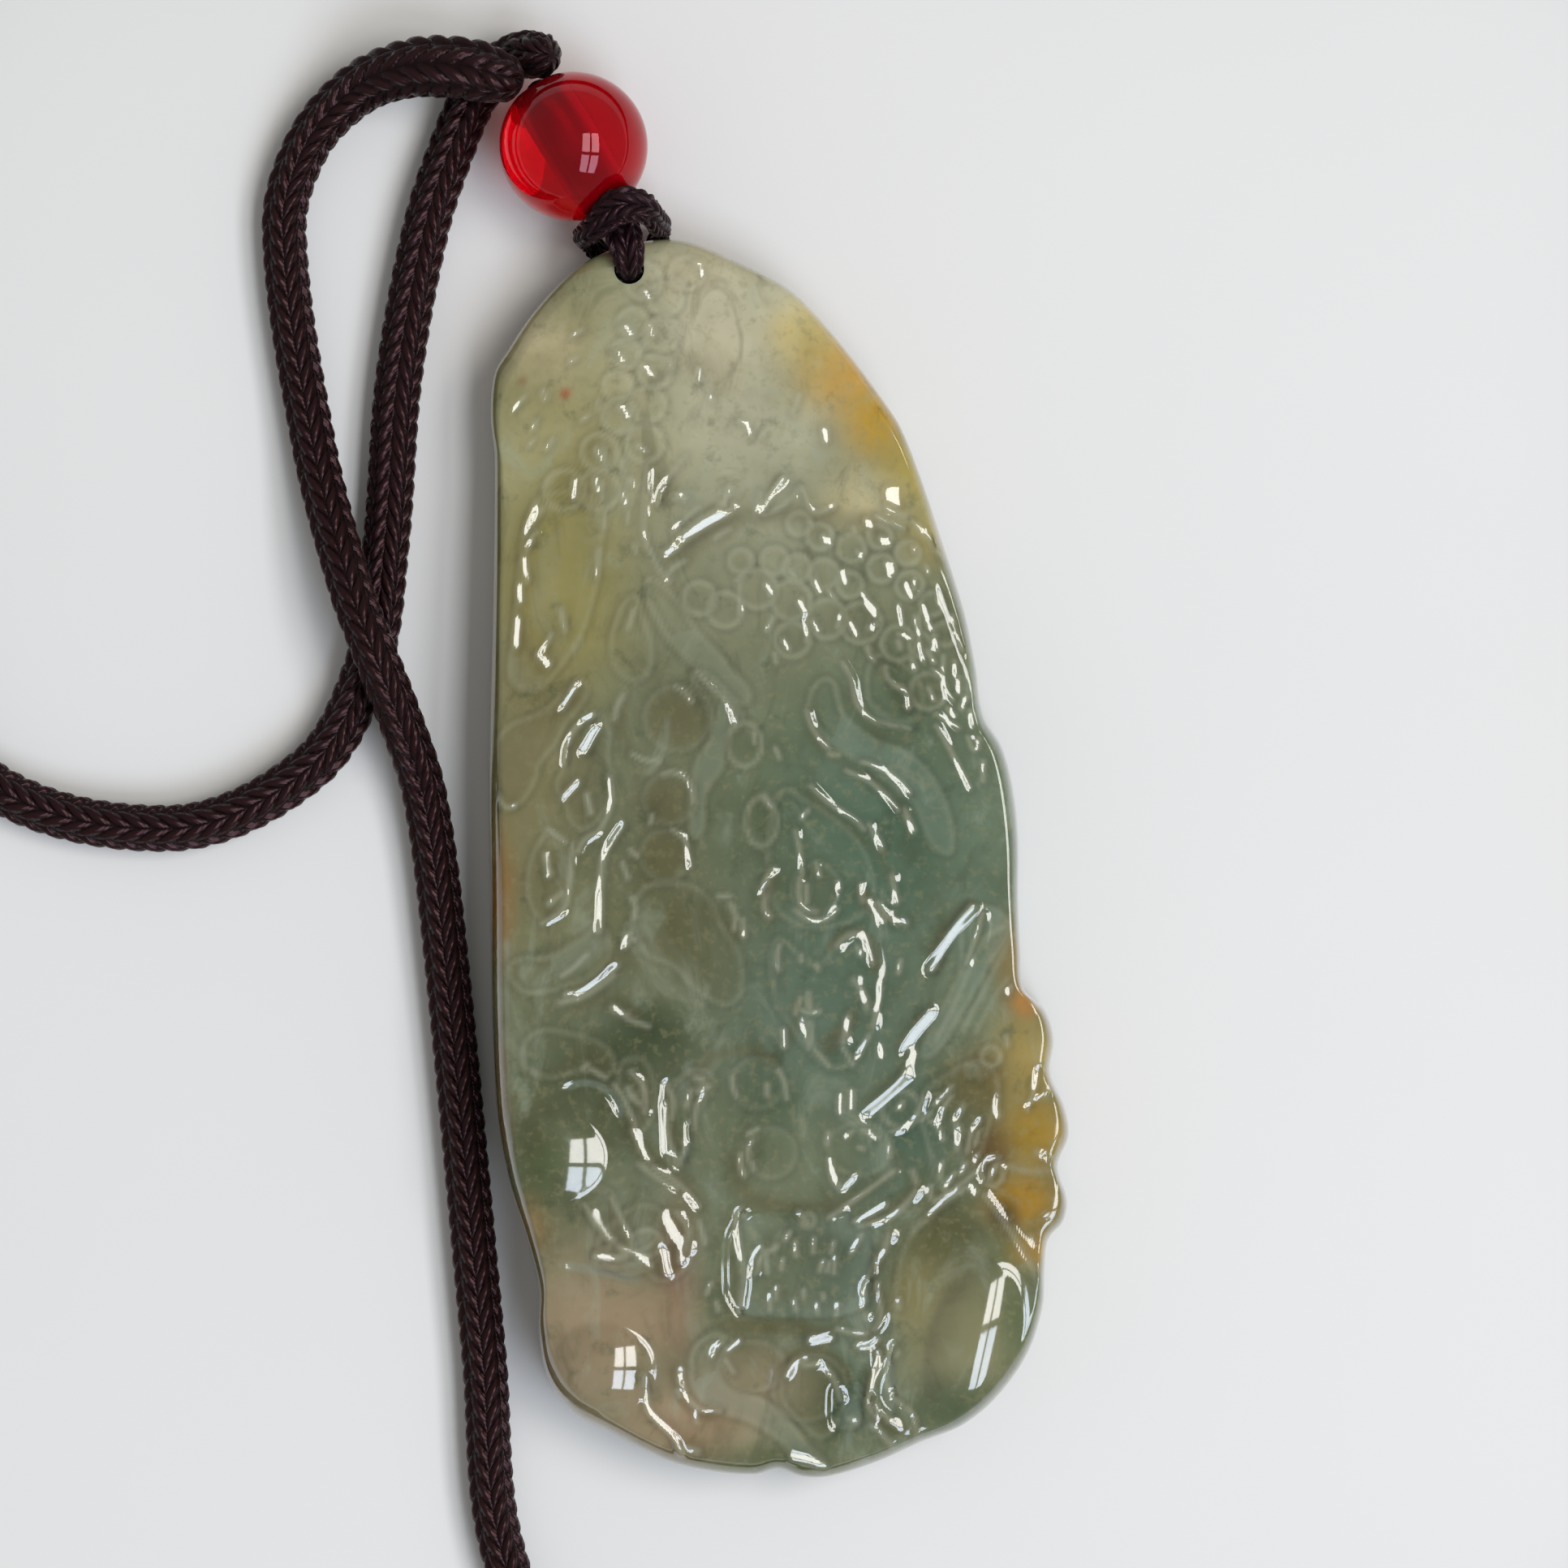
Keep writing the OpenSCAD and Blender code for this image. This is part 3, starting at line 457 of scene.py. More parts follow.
# Polished cuts: half width, gain, then the line. The gain says how much of the slope that sends the light to
# the camera the cut gets. A line alone is a fine cut, with the half width FINE_W and the gain JUST_LIT. A cut
# with the gain DRAWN_ONLY is only a painted highlight line on an uncut face. Every other cut also carries a
# painted highlight line along it and painted shade beside it
FINE_W, JUST_LIT, DRAWN_ONLY = 0.16, 1.0, 0
CUTS = [
    # top
    ((-7.25, 27.8), (-7.05, 27.35)), ((-5.85, 26.85), (-5.7, 26.3)), ((-11.05, 28.0), (-10.5, 28.3)),
    ((-11.2, 26.55), (-10.8, 26.75)), ((-14.15, 24.0), (-13.6, 24.7)), ((-13.1, 23.0), (-12.9, 23.45)),
    (0.16, 1.2, (-10.5, 23.45), (-10.1, 23.7)), ((-9.6, 24.5), (-9.65, 24.05)),
    ((-13.35, 22.1), (-13.1, 22.35)), ((-12.4, 21.9), (-12.1, 22.4)),
    ((-4.0, 25.6), (-3.7, 25.1), (-3.5, 24.5)), (0.16, 1.4, (-2.2, 23.45), (-1.6, 23.15), (-1.4, 22.6)),
    ((1.15, 24.8), (0.95, 24.3), (0.8, 23.85)), ((2.65, 22.95), (2.45, 22.35)),
    ((-5.45, 31.1), (-5.0, 30.75)), (0.16, 1.2, (-4.55, 32.0), (-4.1, 31.7), (-4.0, 31.2)),
    ((-9.2, 21.0), (-9.35, 21.9)), ((-9.4, 20.1), (-9.45, 19.2)), ((-10.8, 20.0), (-10.85, 19.2)),
    # left strip
    ((-8.3, 21.3), (-8.4, 20.9), (-8.0, 20.1)), ((-8.3, 19.3), (-8.1, 18.9)),
    ((-7.85, 19.5), (-7.85, 18.9)), ((-8.05, 18.6), (-8.0, 18.0)),
    (0.16, 1.3, (-7.1, 21.1), (-7.15, 20.4), (-7.2, 18.4), (-7.1, 17.2), (-6.5, 15.8), (-5.8, 14.75)),
    ((-6.0, 15.1), (-5.6, 15.5), (-5.0, 15.9)),
    (0.16, 1.2, (-5.0, 21.5), (-5.6, 20.8), (-6.1, 20.0), (-6.45, 19.0)),
    (0.16, 1.2, (-5.6, 19.2), (-5.1, 19.5)), (0.3, 1.1, (-13.0, 18.8), (-13.5, 17.4)),
    (0.208, 1.0, (-12.6, 18.7), (-13.2, 17.9)), (0.192, 1.0, (-13.0, 17.5), (-13.4, 16.6)),
    (0.32, 1.1, (-13.6, 16.0), (-13.4, 14.9)), (0.34, 1.1, (-13.8, 14.6), (-13.8, 13.8)),
    (0.36, 1.1, (-13.9, 12.8), (-14.0, 11.4)), ((-9.6, 16.5), (-9.65, 15.0)), ((-9.3, 18.4), (-9.3, 17.7)),
    (0.2, 1.2, (-11.6, 13.3), (-11.4, 12.2)), ((-12.1, 12.0), (-12.6, 11.0)),
    (0.3, 1.4, (-12.8, 10.9), (-12.2, 10.4)), ((-7.7, 13.3), (-8.0, 12.3)), ((-7.7, 16.8), (-7.6, 16.4)),
    # body: leaf and crest
    (0.4, 1.1, (-5.9, 16.3), (-4.8, 17.3)), (0.55, 1.1, (-5.0, 17.2), (-3.8, 18.0), (-2.6, 18.7)),
    (0.26, 1.1, (-2.9, 18.9), (-2.6, 19.8)), (0.16, 1.1, (-5.6, 17.5), (-4.3, 18.8)),
    (0.2, 1.1, (-0.9, 19.5), (-1.1, 18.6)), (0.26, 1.1, (0.2, 20.3), (-0.45, 19.3), (-0.9, 18.4)),
    ((1.05, 19.9), (0.8, 19.5), (0.3, 18.9), (-0.8, 18.3)),
    ((1.2, 19.8), (1.7, 18.7), (2.2, 18.5), (3.0, 18.85)), ((-3.4, 17.1), (-2.6, 17.6)),
    (0.56, 1.0, (6.0, 19.6), (6.2, 18.9)), (0.2, 1.1, (5.6, 18.8), (7.0, 18.2)),
    ((5.1, 18.35), (5.9, 18.0), (6.7, 17.65)), (0.2, 1.2, (7.0, 18.1), (7.6, 17.6), (8.3, 16.8)),
    ((8.4, 16.5), (8.8, 16.1)), ((1.6, 18.05), (1.85, 17.8)), ((2.5, 17.0), (2.75, 16.7)),
    ((4.2, 16.4), (4.45, 16.0)), ((4.0, 17.7), (4.1, 17.4)), ((5.65, 17.1), (5.7, 16.8)),
    ((5.7, 15.8), (6.0, 15.2)), ((0.6, 15.4), (0.9, 15.0)), ((7.15, 16.7), (7.25, 16.4)),
    ((7.9, 15.6), (8.0, 15.3)), (0.16, 1.1, (7.3, 15.0), (7.2, 14.4)), ((8.45, 13.9), (8.65, 13.5)),
    (0.18, 1.2, (-3.55, 14.0), (-3.6, 13.5)), (0.18, 1.1, (-2.05, 13.6), (-2.05, 13.0)),
    ((-0.5, 14.6), (-0.45, 14.1)), (0.16, 1.2, (-2.2, 14.9), (-1.7, 15.4)), ((1.3, 13.8), (1.3, 13.3)),
    ((-0.6, 12.2), (-0.25, 12.9)), (0.16, 1.3, (1.45, 13.0), (1.55, 12.2), (1.5, 11.6)),
    ((2.65, 14.35), (3.05, 13.9)), ((3.15, 12.4), (3.35, 13.0)), (0.2, 1.1, (4.85, 12.3), (5.25, 12.5)),
    ((4.5, 14.2), (4.75, 13.8), (5.2, 13.35)), (0.16, 1.1, (6.45, 13.5), (6.6, 12.5)),
    ((4.75, 11.3), (4.85, 10.9), (5.1, 10.65)), (0.16, 1.1, (6.4, 12.0), (7.1, 11.75)),
    (0.22, 1.1, (6.4, 11.6), (6.5, 11.3)), (0.16, 1.1, (7.3, 12.9), (7.5, 11.6), (7.75, 10.6)),
    ((7.7, 13.5), (7.5, 12.8), (7.55, 12.0)), (0.2, 1.2, (7.9, 12.65), (8.2, 12.25)),
    (0.2, 1.2, (8.3, 11.9), (8.45, 11.2)), ((9.3, 12.95), (9.4, 12.6)), ((9.4, 12.0), (9.8, 11.2)),
    (0.18, 1.2, (7.9, 11.1), (8.3, 10.5)), (0.22, 1.2, (7.1, 10.7), (7.3, 10.1)),
    ((-0.2, 10.95), (-0.1, 10.5)),
    # left lobes and bosses
    ((-15.0, 3.4), (-14.5, 2.75), (-14.0, 2.85)), (0.272, 0.9, (-10.8, 9.3), (-11.5, 8.1)),
    (0.48, 1.0, (-9.8, 7.0), (-10.3, 5.9)),
    (0.16, 1.1, (-9.85, 7.6), (-10.8, 7.0), (-11.3, 6.0), (-11.4, 5.1)),
    (0.32, 1.1, (-10.75, 4.0), (-11.4, 3.3)), (0.32, 0.8, (-10.2, 3.4), (-10.0, 2.5)),
    ((-9.0, 4.4), (-8.9, 3.0), (-9.5, 1.6), (-10.3, 1.1), (-10.7, 0.4)), ((-12.3, 1.6), (-11.3, 0.9)),
    (0.2, 1.1, (-8.3, 8.7), (-8.6, 8.1), (-8.7, 7.5)), (0.16, 1.2, (-7.8, 5.6), (-7.2, 5.3), (-6.3, 5.2)),
    ((-5.5, 9.2), (-5.0, 8.9), (-4.6, 8.4)),
    ((-4.4, 10.0), (-3.5, 9.1), (-2.9, 8.6), (-2.5, 7.9), (-2.2, 7.1)),
    (0.16, 1.1, (-6.2, 4.5), (-5.6, 4.65), (-5.0, 4.4), (-4.6, 3.8), (-4.55, 3.0)),
    (0.16, 1.1, (-5.7, 1.6), (-5.0, 1.1), (-4.85, 0.5), (-4.7, -0.4)), ((-6.75, 2.3), (-6.8, 1.95)),
    ((-7.9, 0.5), (-7.5, 0.15)), ((-1.3, 6.7), (-1.25, 6.2)), ((-0.15, 5.9), (0.05, 5.4)),
    (0.2, 1.1, (-0.8, 3.35), (-0.35, 2.8)), ((1.6, 2.6), (1.25, 2.2)),
    # sweeping lines above the face
    (0.16, 1.1, (3.35, 10.5), (3.85, 9.6), (4.25, 8.2), (5.2, 7.35), (7.0, 6.95)),
    ((1.5, 7.9), (1.7, 7.2), (2.2, 6.4), (2.9, 5.7)), ((2.7, 5.6), (3.2, 5.55)),
    ((4.4, 5.2), (5.0, 5.0), (6.3, 4.3), (7.0, 3.5)), ((3.6, 4.7), (4.9, 4.1), (5.8, 3.3), (6.4, 2.6)),
    (0.22, 1.2, (6.7, 2.6), (7.2, 1.55)), ((1.7, 3.9), (2.7, 3.0), (4.1, 2.1), (4.6, 1.6)),
    (0.2, 1.2, (4.8, 1.8), (5.2, 1.2), (5.5, 0.65)), (0.16, 1.1, (0.9, 1.5), (1.1, 0.6), (1.3, -0.8)),
    ((5.7, 10.2), (5.8, 9.7), (6.3, 9.2), (6.8, 8.95), (6.95, 8.1)), ((8.0, 9.1), (8.3, 8.5)),
    ((8.2, 10.1), (8.7, 9.7), (8.9, 9.0), (9.3, 8.5)), ((8.8, 10.8), (8.75, 9.9)),
    ((9.4, 10.5), (9.45, 9.8)), (0.16, 1.1, (9.6, 9.7), (9.6, 8.9)), ((10.0, 8.6), (9.75, 8.0)),
    ((10.25, 7.85), (10.35, 7.1)), ((9.0, 8.0), (9.4, 7.65)), ((8.4, 7.75), (9.1, 7.3), (9.6, 7.0)),
    ((10.1, 6.5), (10.5, 5.8), (10.7, 6.4)), ((10.95, 5.2), (10.9, 4.2)),
    (0.16, 0.8, (8.4, 7.1), (9.0, 6.1), (9.6, 5.0), (10.2, 3.8)),
    # left middle
    (0.24, 1.2, (-8.35, 1.8), (-9.25, 0.3), (-9.5, -1.5), (-9.5, -2.3), (-9.55, -3.8)),
    ((-11.0, 0.8), (-11.2, -2.0), (-11.4, -2.6), (-12.6, -3.4)), (0.4, 0.85, (-12.4, 0.2), (-12.2, -0.8)),
    (0.24, 0.9, (-11.5, -1.8), (-12.2, -2.4)), ((-12.2, -2.3), (-11.6, -1.9)),
    (0.16, 0.9, (-10.2, -5.1), (-10.9, -5.8), (-11.5, -6.2)),
    (0.26, 1.2, (-11.3, -7.2), (-10.6, -7.1), (-9.4, -6.5), (-8.6, -5.7)),
    (0.22, 1.2, (-11.6, -7.6), (-10.2, -7.2), (-8.8, -6.2)), (0.336, 1.0, (-8.8, -7.9), (-8.0, -8.4)),
    ((-8.0, -8.5), (-6.9, -8.9)), ((-8.3, -0.2), (-8.0, -1.0)), ((-7.8, -2.1), (-7.6, -2.6), (-7.7, -3.2)),
    ((-7.8, -3.9), (-8.2, -4.3)), ((-8.2, -4.7), (-7.8, -4.2), (-7.6, -4.3)),
    # forehead and brows
    (0.26, 1.1, (-0.25, -0.55), (-0.7, -1.2), (-0.85, -1.8)),
    (0.24, 1.1, (-0.7, -1.9), (-0.75, -2.6), (-0.45, -3.05)),
    (0.18, 1.2, (1.1, -1.0), (1.1, -2.0), (1.4, -2.6), (2.0, -2.8)), ((1.5, -1.4), (1.5, -2.3)),
    ((2.0, -0.2), (2.2, -0.9)), ((3.15, -1.2), (3.2, -1.6)),
    (0.18, 1.1, (0.9, -2.7), (1.6, -3.2), (2.5, -3.2), (3.1, -2.7)), (0.272, 1.0, (4.4, -1.4), (4.5, -2.2)),
    (0.32, 1.0, (4.8, -2.2), (5.6, -3.3)), (0.2, 1.1, (5.3, -2.3), (5.9, -3.1), (6.8, -3.4)),
    (0.18, 1.1, (6.05, -0.9), (6.3, -2.3)), ((-3.2, -1.95), (-2.6, -2.0)),
    (0.18, 1.1, (-2.55, -2.4), (-2.2, -3.1)), ((-2.25, -3.0), (-2.35, -3.7)), ((-1.9, -3.2), (-1.8, -4.1)),
    (0.16, 1.1, (0.05, -4.6), (-0.05, -5.0), (0.0, -5.9)), ((1.2, -5.1), (1.2, -5.4)),
    ((2.0, -5.6), (2.1, -5.85)),
    (0.2, 1.3, (3.1, -4.6), (3.6, -4.1), (4.2, -3.95), (4.6, -4.2), (5.0, -5.5)),
    (0.22, 1.1, (4.2, -4.7), (4.4, -5.0)), (0.24, 1.1, (4.0, -6.4), (4.6, -7.3), (4.7, -7.9)),
    ((1.2, -7.4), (0.9, -8.2)), ((1.6, -7.1), (1.6, -7.9)), ((1.2, -8.0), (1.6, -8.15), (2.2, -8.1)),
    (0.26, 1.1, (0.3, -9.1), (0.3, -9.9)), (0.2, 1.1, (1.3, -8.6), (1.65, -10.0)),
    ((1.7, -8.7), (1.85, -9.9)), ((1.9, -10.1), (2.7, -11.0)),
    (0.24, 1.0, (3.7, -8.4), (3.6, -9.0), (3.45, -9.7)), ((3.45, -10.0), (3.95, -10.9)),
    ((5.4, -6.6), (5.4, -7.2), (5.05, -8.8)), ((4.8, -9.4), (4.2, -10.5)),
    (0.26, 1.1, (5.4, -10.0), (5.45, -10.4)), ((6.5, -5.4), (6.4, -6.0)),
    # ear and mane
    (0.4, 1.1, (8.2, -5.8), (8.9, -4.5), (9.65, -3.4), (10.3, -2.6)),
    (0.16, 1.1, (10.85, -2.9), (10.6, -3.9), (10.0, -5.5)),
    (0.16, 0, (12.0, -3.6), (11.0, -4.2), (10.3, -5.6), (9.2, -8.0), (8.4, -9.6)),
    (0.16, 0, (12.5, -4.0), (11.6, -5.6), (11.0, -6.8), (9.9, -9.0)),
    (0.16, 0, (12.2, -6.4), (11.5, -7.3), (10.5, -9.2)), ((12.35, -6.8), (12.2, -7.1)),
    ((12.1, -9.4), (12.2, -9.9)), (0.5, 1.1, (8.1, -8.3), (7.3, -9.2), (6.8, -10.0)),
    (0.4, 1.1, (7.2, -10.3), (6.8, -11.6)), (0.5, 1.1, (6.7, -11.7), (5.8, -12.6), (4.9, -13.4)),
    # eyes, nose and cheeks
    (0.224, 1.0, (-0.6, -12.0), (-0.6, -12.5)), (0.16, 1.1, (-2.45, -11.6), (-2.4, -12.1), (-2.2, -12.6)),
    (0.16, 0.8, (0.0, -11.2), (0.3, -11.8), (0.45, -12.7)), (0.18, 1.1, (6.6, -12.95), (6.4, -13.2)),
    ((6.0, -14.45), (6.7, -14.2), (7.3, -13.7), (7.7, -12.6)), (0.3, 1.1, (3.3, -12.6), (3.3, -13.4)),
    (0.28, 1.1, (3.9, -12.4), (3.85, -13.2)), ((-1.6, -14.6), (-1.1, -14.35)),
    ((-1.4, -15.0), (-1.6, -15.4), (-1.6, -16.0)), (0.18, 1.2, (-2.0, -15.7), (-2.0, -16.3), (-1.8, -16.8)),
    ((-1.4, -16.1), (-1.3, -16.5)), (0.2, 1.1, (2.7, -14.6), (2.6, -15.1)),
    (0.3, 1.1, (2.75, -16.0), (2.9, -16.9), (3.3, -17.5)), (0.32, 1.1, (3.6, -17.4), (4.0, -17.0)),
    ((5.9, -15.2), (5.85, -15.8)), ((4.5, -14.4), (5.3, -14.8)), ((3.6, -14.75), (3.9, -14.5)),
    ((4.3, -15.3), (4.5, -15.4)), ((2.7, -19.05), (3.5, -18.5), (4.5, -17.8), (6.1, -16.6)),
    (0.26, 1.2, (4.1, -19.25), (4.8, -18.9), (5.7, -18.4)),
    (0.18, 1.1, (4.3, -19.5), (6.0, -19.0), (6.8, -18.3), (7.3, -17.6)),
    (0.24, 1.1, (7.15, -16.6), (7.35, -17.2)), ((8.1, -17.4), (8.1, -17.9), (8.3, -18.2)),
    ((8.3, -18.2), (9.6, -17.4), (10.6, -16.5)), ((8.0, -18.9), (9.0, -18.1), (9.8, -17.6)),
    (0.26, 1.2, (10.1, -17.4), (10.5, -17.7)), ((8.3, -13.05), (8.8, -12.6), (9.2, -12.1)),
    ((8.6, -13.8), (8.8, -13.2), (9.2, -12.6)), ((7.6, -13.9), (8.1, -13.5)),
    ((8.0, -13.9), (8.4, -14.1), (8.8, -14.9)), (0.2, 1.1, (9.8, -13.2), (9.4, -13.9)),
    (0.24, 1.2, (9.45, -14.1), (9.6, -14.6), (9.5, -15.4)), ((10.7, -13.9), (10.3, -14.4), (10.05, -15.5)),
    ((10.65, -14.5), (10.45, -15.2)), ((10.6, -15.7), (10.45, -16.0)),
    ((11.65, -12.6), (11.6, -13.2), (11.7, -13.7)), ((8.75, -16.1), (8.6, -16.9)),
    ((9.4, -16.7), (8.9, -17.4)), ((10.0, -16.2), (9.7, -16.7)),
    # lump of curls at the right edge
    (0.16, 1.1, (13.75, -11.2), (13.6, -12.2), (13.25, -13.3)),
    (0.192, 1.0, (13.7, -15.6), (14.1, -15.7), (14.6, -16.1)),
    (0.16, 0, (12.2, -16.3), (13.5, -16.6), (14.8, -16.4)),
    (0.176, 1.0, (14.2, -18.85), (14.4, -19.1), (14.6, -19.4)),
    ((10.9, -17.0), (10.8, -16.4), (11.1, -16.0), (11.7, -15.95)), (0.2, 1.1, (11.6, -16.2), (11.2, -17.0)),
    ((13.4, -20.1), (13.6, -20.4)), ((10.9, -17.8), (12.0, -19.3), (13.2, -21.2), (14.1, -22.9)),
    (0.16, 0.9, (13.5, -7.6), (14.2, -8.3), (14.6, -9.2)),
    # mouth
    (0.18, 1.1, (-1.9, -18.9), (-2.0, -18.6), (-2.25, -19.0), (-2.1, -20.5), (-1.85, -22.0), (-2.1, -24.1)),
    ((1.1, -18.8), (1.4, -19.1), (1.6, -19.4)), ((0.6, -19.9), (0.4, -20.2)), ((0.9, -20.4), (0.95, -21.1)),
    ((1.9, -20.2), (1.85, -20.9)), ((2.95, -20.4), (2.8, -20.9)),
    (0.16, 1.1, (4.4, -20.0), (4.2, -20.4), (3.9, -20.9)), ((0.25, -21.3), (0.15, -21.8)),
    (0.16, 1.1, (-1.4, -21.8), (-1.4, -21.3), (-1.2, -20.9), (-0.9, -20.7)),
    ((-0.9, -20.9), (-0.3, -20.8), (-0.1, -20.6)), ((-0.65, -21.0), (-0.6, -22.0)),
    ((-1.2, -22.0), (-0.9, -21.1)), ((2.2, -21.9), (2.4, -21.4)), ((2.6, -21.9), (2.7, -21.5)),
    ((3.0, -21.2), (2.95, -22.0)), (0.22, 1.2, (5.85, -19.95), (5.6, -20.9), (5.3, -21.3), (5.0, -21.9)),
    ((-0.45, -23.2), (-0.45, -24.0)), ((-0.1, -22.8), (-0.15, -23.4)), ((1.35, -22.95), (1.35, -23.3)),
    ((0.85, -23.5), (0.95, -24.0)), ((2.4, -23.2), (2.4, -23.4)), (0.16, 1.1, (2.05, -23.7), (2.1, -24.1)),
    (0.16, 1.1, (3.15, -23.7), (3.1, -24.3)),
    (0.2, 1.2, (4.75, -22.3), (4.5, -22.8), (4.55, -23.8), (4.6, -24.4)),
    (0.16, 1.1, (5.25, -22.6), (5.45, -23.9), (5.4, -24.5), (5.1, -25.0)),
    (0.16, 1.1, (3.15, -25.0), (3.9, -25.2), (4.7, -25.25)), ((-3.6, -22.6), (-3.8, -23.1)),
    (0.16, 0.9, (-3.3, -23.6), (-3.2, -24.0)),
    # left arm and its valley
    (0.2, 1.1, (-10.4, -11.15), (-10.15, -10.95)), ((-10.0, -11.15), (-9.2, -11.6)),
    ((-8.7, -12.0), (-8.1, -13.0), (-7.6, -14.2)), (0.32, 1.2, (-7.7, -14.4), (-7.2, -15.5), (-6.7, -16.3)),
    (0.26, 1.1, (-6.6, -16.4), (-5.4, -17.2), (-4.6, -18.0), (-4.2, -18.5)),
    (0.22, 1.1, (-7.4, -16.2), (-6.6, -16.8), (-5.4, -17.5)), (0.16, 0.9, (-4.2, -19.3), (-3.9, -20.4)),
    (0.18, 1.1, (-7.85, -11.3), (-7.2, -12.0), (-7.05, -12.9), (-7.1, -13.4)),
    (0.22, 1.2, (-8.0, -12.2), (-7.8, -12.6), (-7.3, -13.0)),
    (0.18, 1.1, (-6.0, -12.0), (-5.6, -12.8), (-5.7, -13.8)),
    (0.2, 1.1, (-6.0, -13.0), (-5.95, -14.1), (-5.75, -15.2), (-5.3, -16.2)),
    ((-5.2, -16.2), (-4.9, -15.0), (-4.8, -14.0)), (0.2, 1.1, (-4.6, -12.3), (-4.9, -13.1)),
    (0.22, 1.1, (-4.3, -12.35), (-3.7, -12.1)), ((-4.0, -12.6), (-4.3, -13.0), (-4.5, -14.3)),
    ((-4.4, -11.6), (-4.0, -11.7)), (0.56, 1.0, (-5.9, -19.0), (-5.3, -20.3)),
    (0.24, 1.1, (-5.4, -18.8), (-4.8, -19.6), (-4.9, -20.7)), (0.44, 1.0, (-6.0, -20.9), (-5.9, -21.9)),
    (0.288, 1.0, (-9.7, -21.1), (-8.9, -21.2), (-8.1, -21.1)), (0.4, 1.0, (-5.9, -19.2), (-5.5, -20.0)),
    (0.336, 1.0, (-5.1, -20.2), (-5.2, -21.3)), (0.32, 1.0, (-7.4, -21.2), (-6.8, -21.6)),
    (0.16, 0.9, (-8.9, -18.0), (-8.3, -19.2), (-7.8, -20.2)),
    (0.16, 0.9, (-10.3, -18.4), (-9.6, -19.4), (-9.0, -20.2)),
    (0.44, 0.8, (-9.9, -18.9), (-9.2, -19.8), (-8.5, -20.6)), (0.4, 0.8, (-8.3, -20.7), (-6.9, -21.2)),
    # foot: lobes, curls and flame
    (0.26, 1.2, (-7.1, -27.6), (-7.0, -28.8), (-6.9, -29.4), (-6.4, -30.0), (-5.6, -30.8), (-5.2, -31.7)),
    (0.24, 1.1, (-5.0, -31.4), (-4.3, -31.6)), (0.24, 1.1, (-5.2, -27.2), (-5.25, -27.8)),
    ((-5.1, -27.9), (-4.9, -28.6), (-4.2, -29.3), (-3.1, -29.45)), ((-5.35, -28.3), (-5.2, -28.6)),
    ((-4.4, -29.5), (-4.35, -30.0)), (0.24, 1.1, (-3.55, -26.4), (-3.4, -26.0), (-3.0, -25.8)),
    (0.288, 0.9, (-2.7, -26.1), (-2.1, -25.7)), ((-2.8, -26.7), (-2.6, -27.0), (-2.4, -27.3)),
    (0.34, 1.1, (1.7, -25.6), (2.8, -25.5)), (0.3, 1.1, (0.5, -27.5), (0.9, -26.9), (1.5, -26.7)),
    (0.2, 1.1, (1.3, -26.95), (2.2, -26.9), (2.9, -27.6), (3.3, -28.8)),
    (0.26, 1.2, (4.2, -25.9), (4.9, -25.9), (5.3, -25.6)),
    (0.32, 1.2, (5.35, -26.3), (5.3, -27.0), (5.0, -28.0), (5.0, -28.8), (5.5, -29.6), (6.4, -30.15)),
    ((4.85, -28.6), (4.8, -29.1), (5.3, -29.8)), (0.18, 1.1, (6.35, -26.3), (6.1, -26.7)),
    ((6.1, -25.8), (5.9, -26.5), (5.75, -27.9), (6.3, -28.8), (6.8, -29.2)), ((5.8, -28.0), (5.95, -28.4)),
    ((6.8, -29.2), (7.2, -29.7), (7.4, -31.0)), (0.2, 1.1, (3.8, -29.85), (4.2, -30.0)),
    ((4.9, -30.2), (5.4, -30.5), (6.2, -31.5)), (0.4, 1.1, (0.8, -31.9), (1.6, -32.0), (2.4, -32.4)),
    ((6.4, -23.4), (6.4, -23.9)),
    # inside two of the rings at the top
    (0.3, 1.06, (-9.75, 21.9), (-9.4, 21.35)), (0.3, 1.06, (-9.8, 20.3), (-9.55, 19.7)),
]

# Short glints inside the rings and scales, each a small facet on a line
GLINT_W, GLINT_GAIN = 0.255, 1.06
GLINTS = [
    ((-7.25, 30.4), (-6.8, 30.05)), ((-8.3, 28.5), (-7.75, 28.1)), ((-6.95, 28.6), (-6.65, 28.0)),
    ((-8.7, 27.1), (-8.2, 26.65)), ((-7.3, 26.4), (-6.6, 25.85)), ((-8.5, 24.2), (-7.9, 23.7)),
    ((-7.55, 22.1), (-7.1, 21.8)), ((-10.95, 20.2), (-10.85, 19.4)), ((-7.9, 20.3), (-7.6, 19.85)),
    ((-8.35, 19.5), (-8.1, 19.0)), ((2.4, 22.9), (2.6, 22.4)), ((-4.3, 26.2), (-4.15, 25.6)),
    ((-5.4, 19.5), (-5.0, 19.2)), ((-12.6, 25.0), (-12.45, 24.6)), ((-2.05, 13.85), (-1.95, 13.3)),
    ((-0.65, 14.6), (-0.33, 14.2)), ((1.17, 13.64), (1.4, 13.2)), ((1.96, 14.8), (2.2, 14.3)),
    ((2.38, 17.2), (2.8, 16.8)), ((3.35, 15.3), (3.6, 14.8)), ((4.66, 18.1), (5, 17.7)),
    ((5.48, 17.1), (5.9, 16.8)), ((5.8, 15.75), (6.1, 15.35)), ((4.66, 13.6), (5.15, 13.1)),
    ((3.85, 12.55), (4.15, 12)), ((6.8, 14.6), (7.05, 14.1)), ((7.76, 13.3), (7.95, 12.8)),
    ((1.83, 12.65), (2.1, 12.2)), ((0.26, 11.65), (0.55, 11.2)),
]
CUTS += [(GLINT_W, GLINT_GAIN, *line) for line in GLINTS]

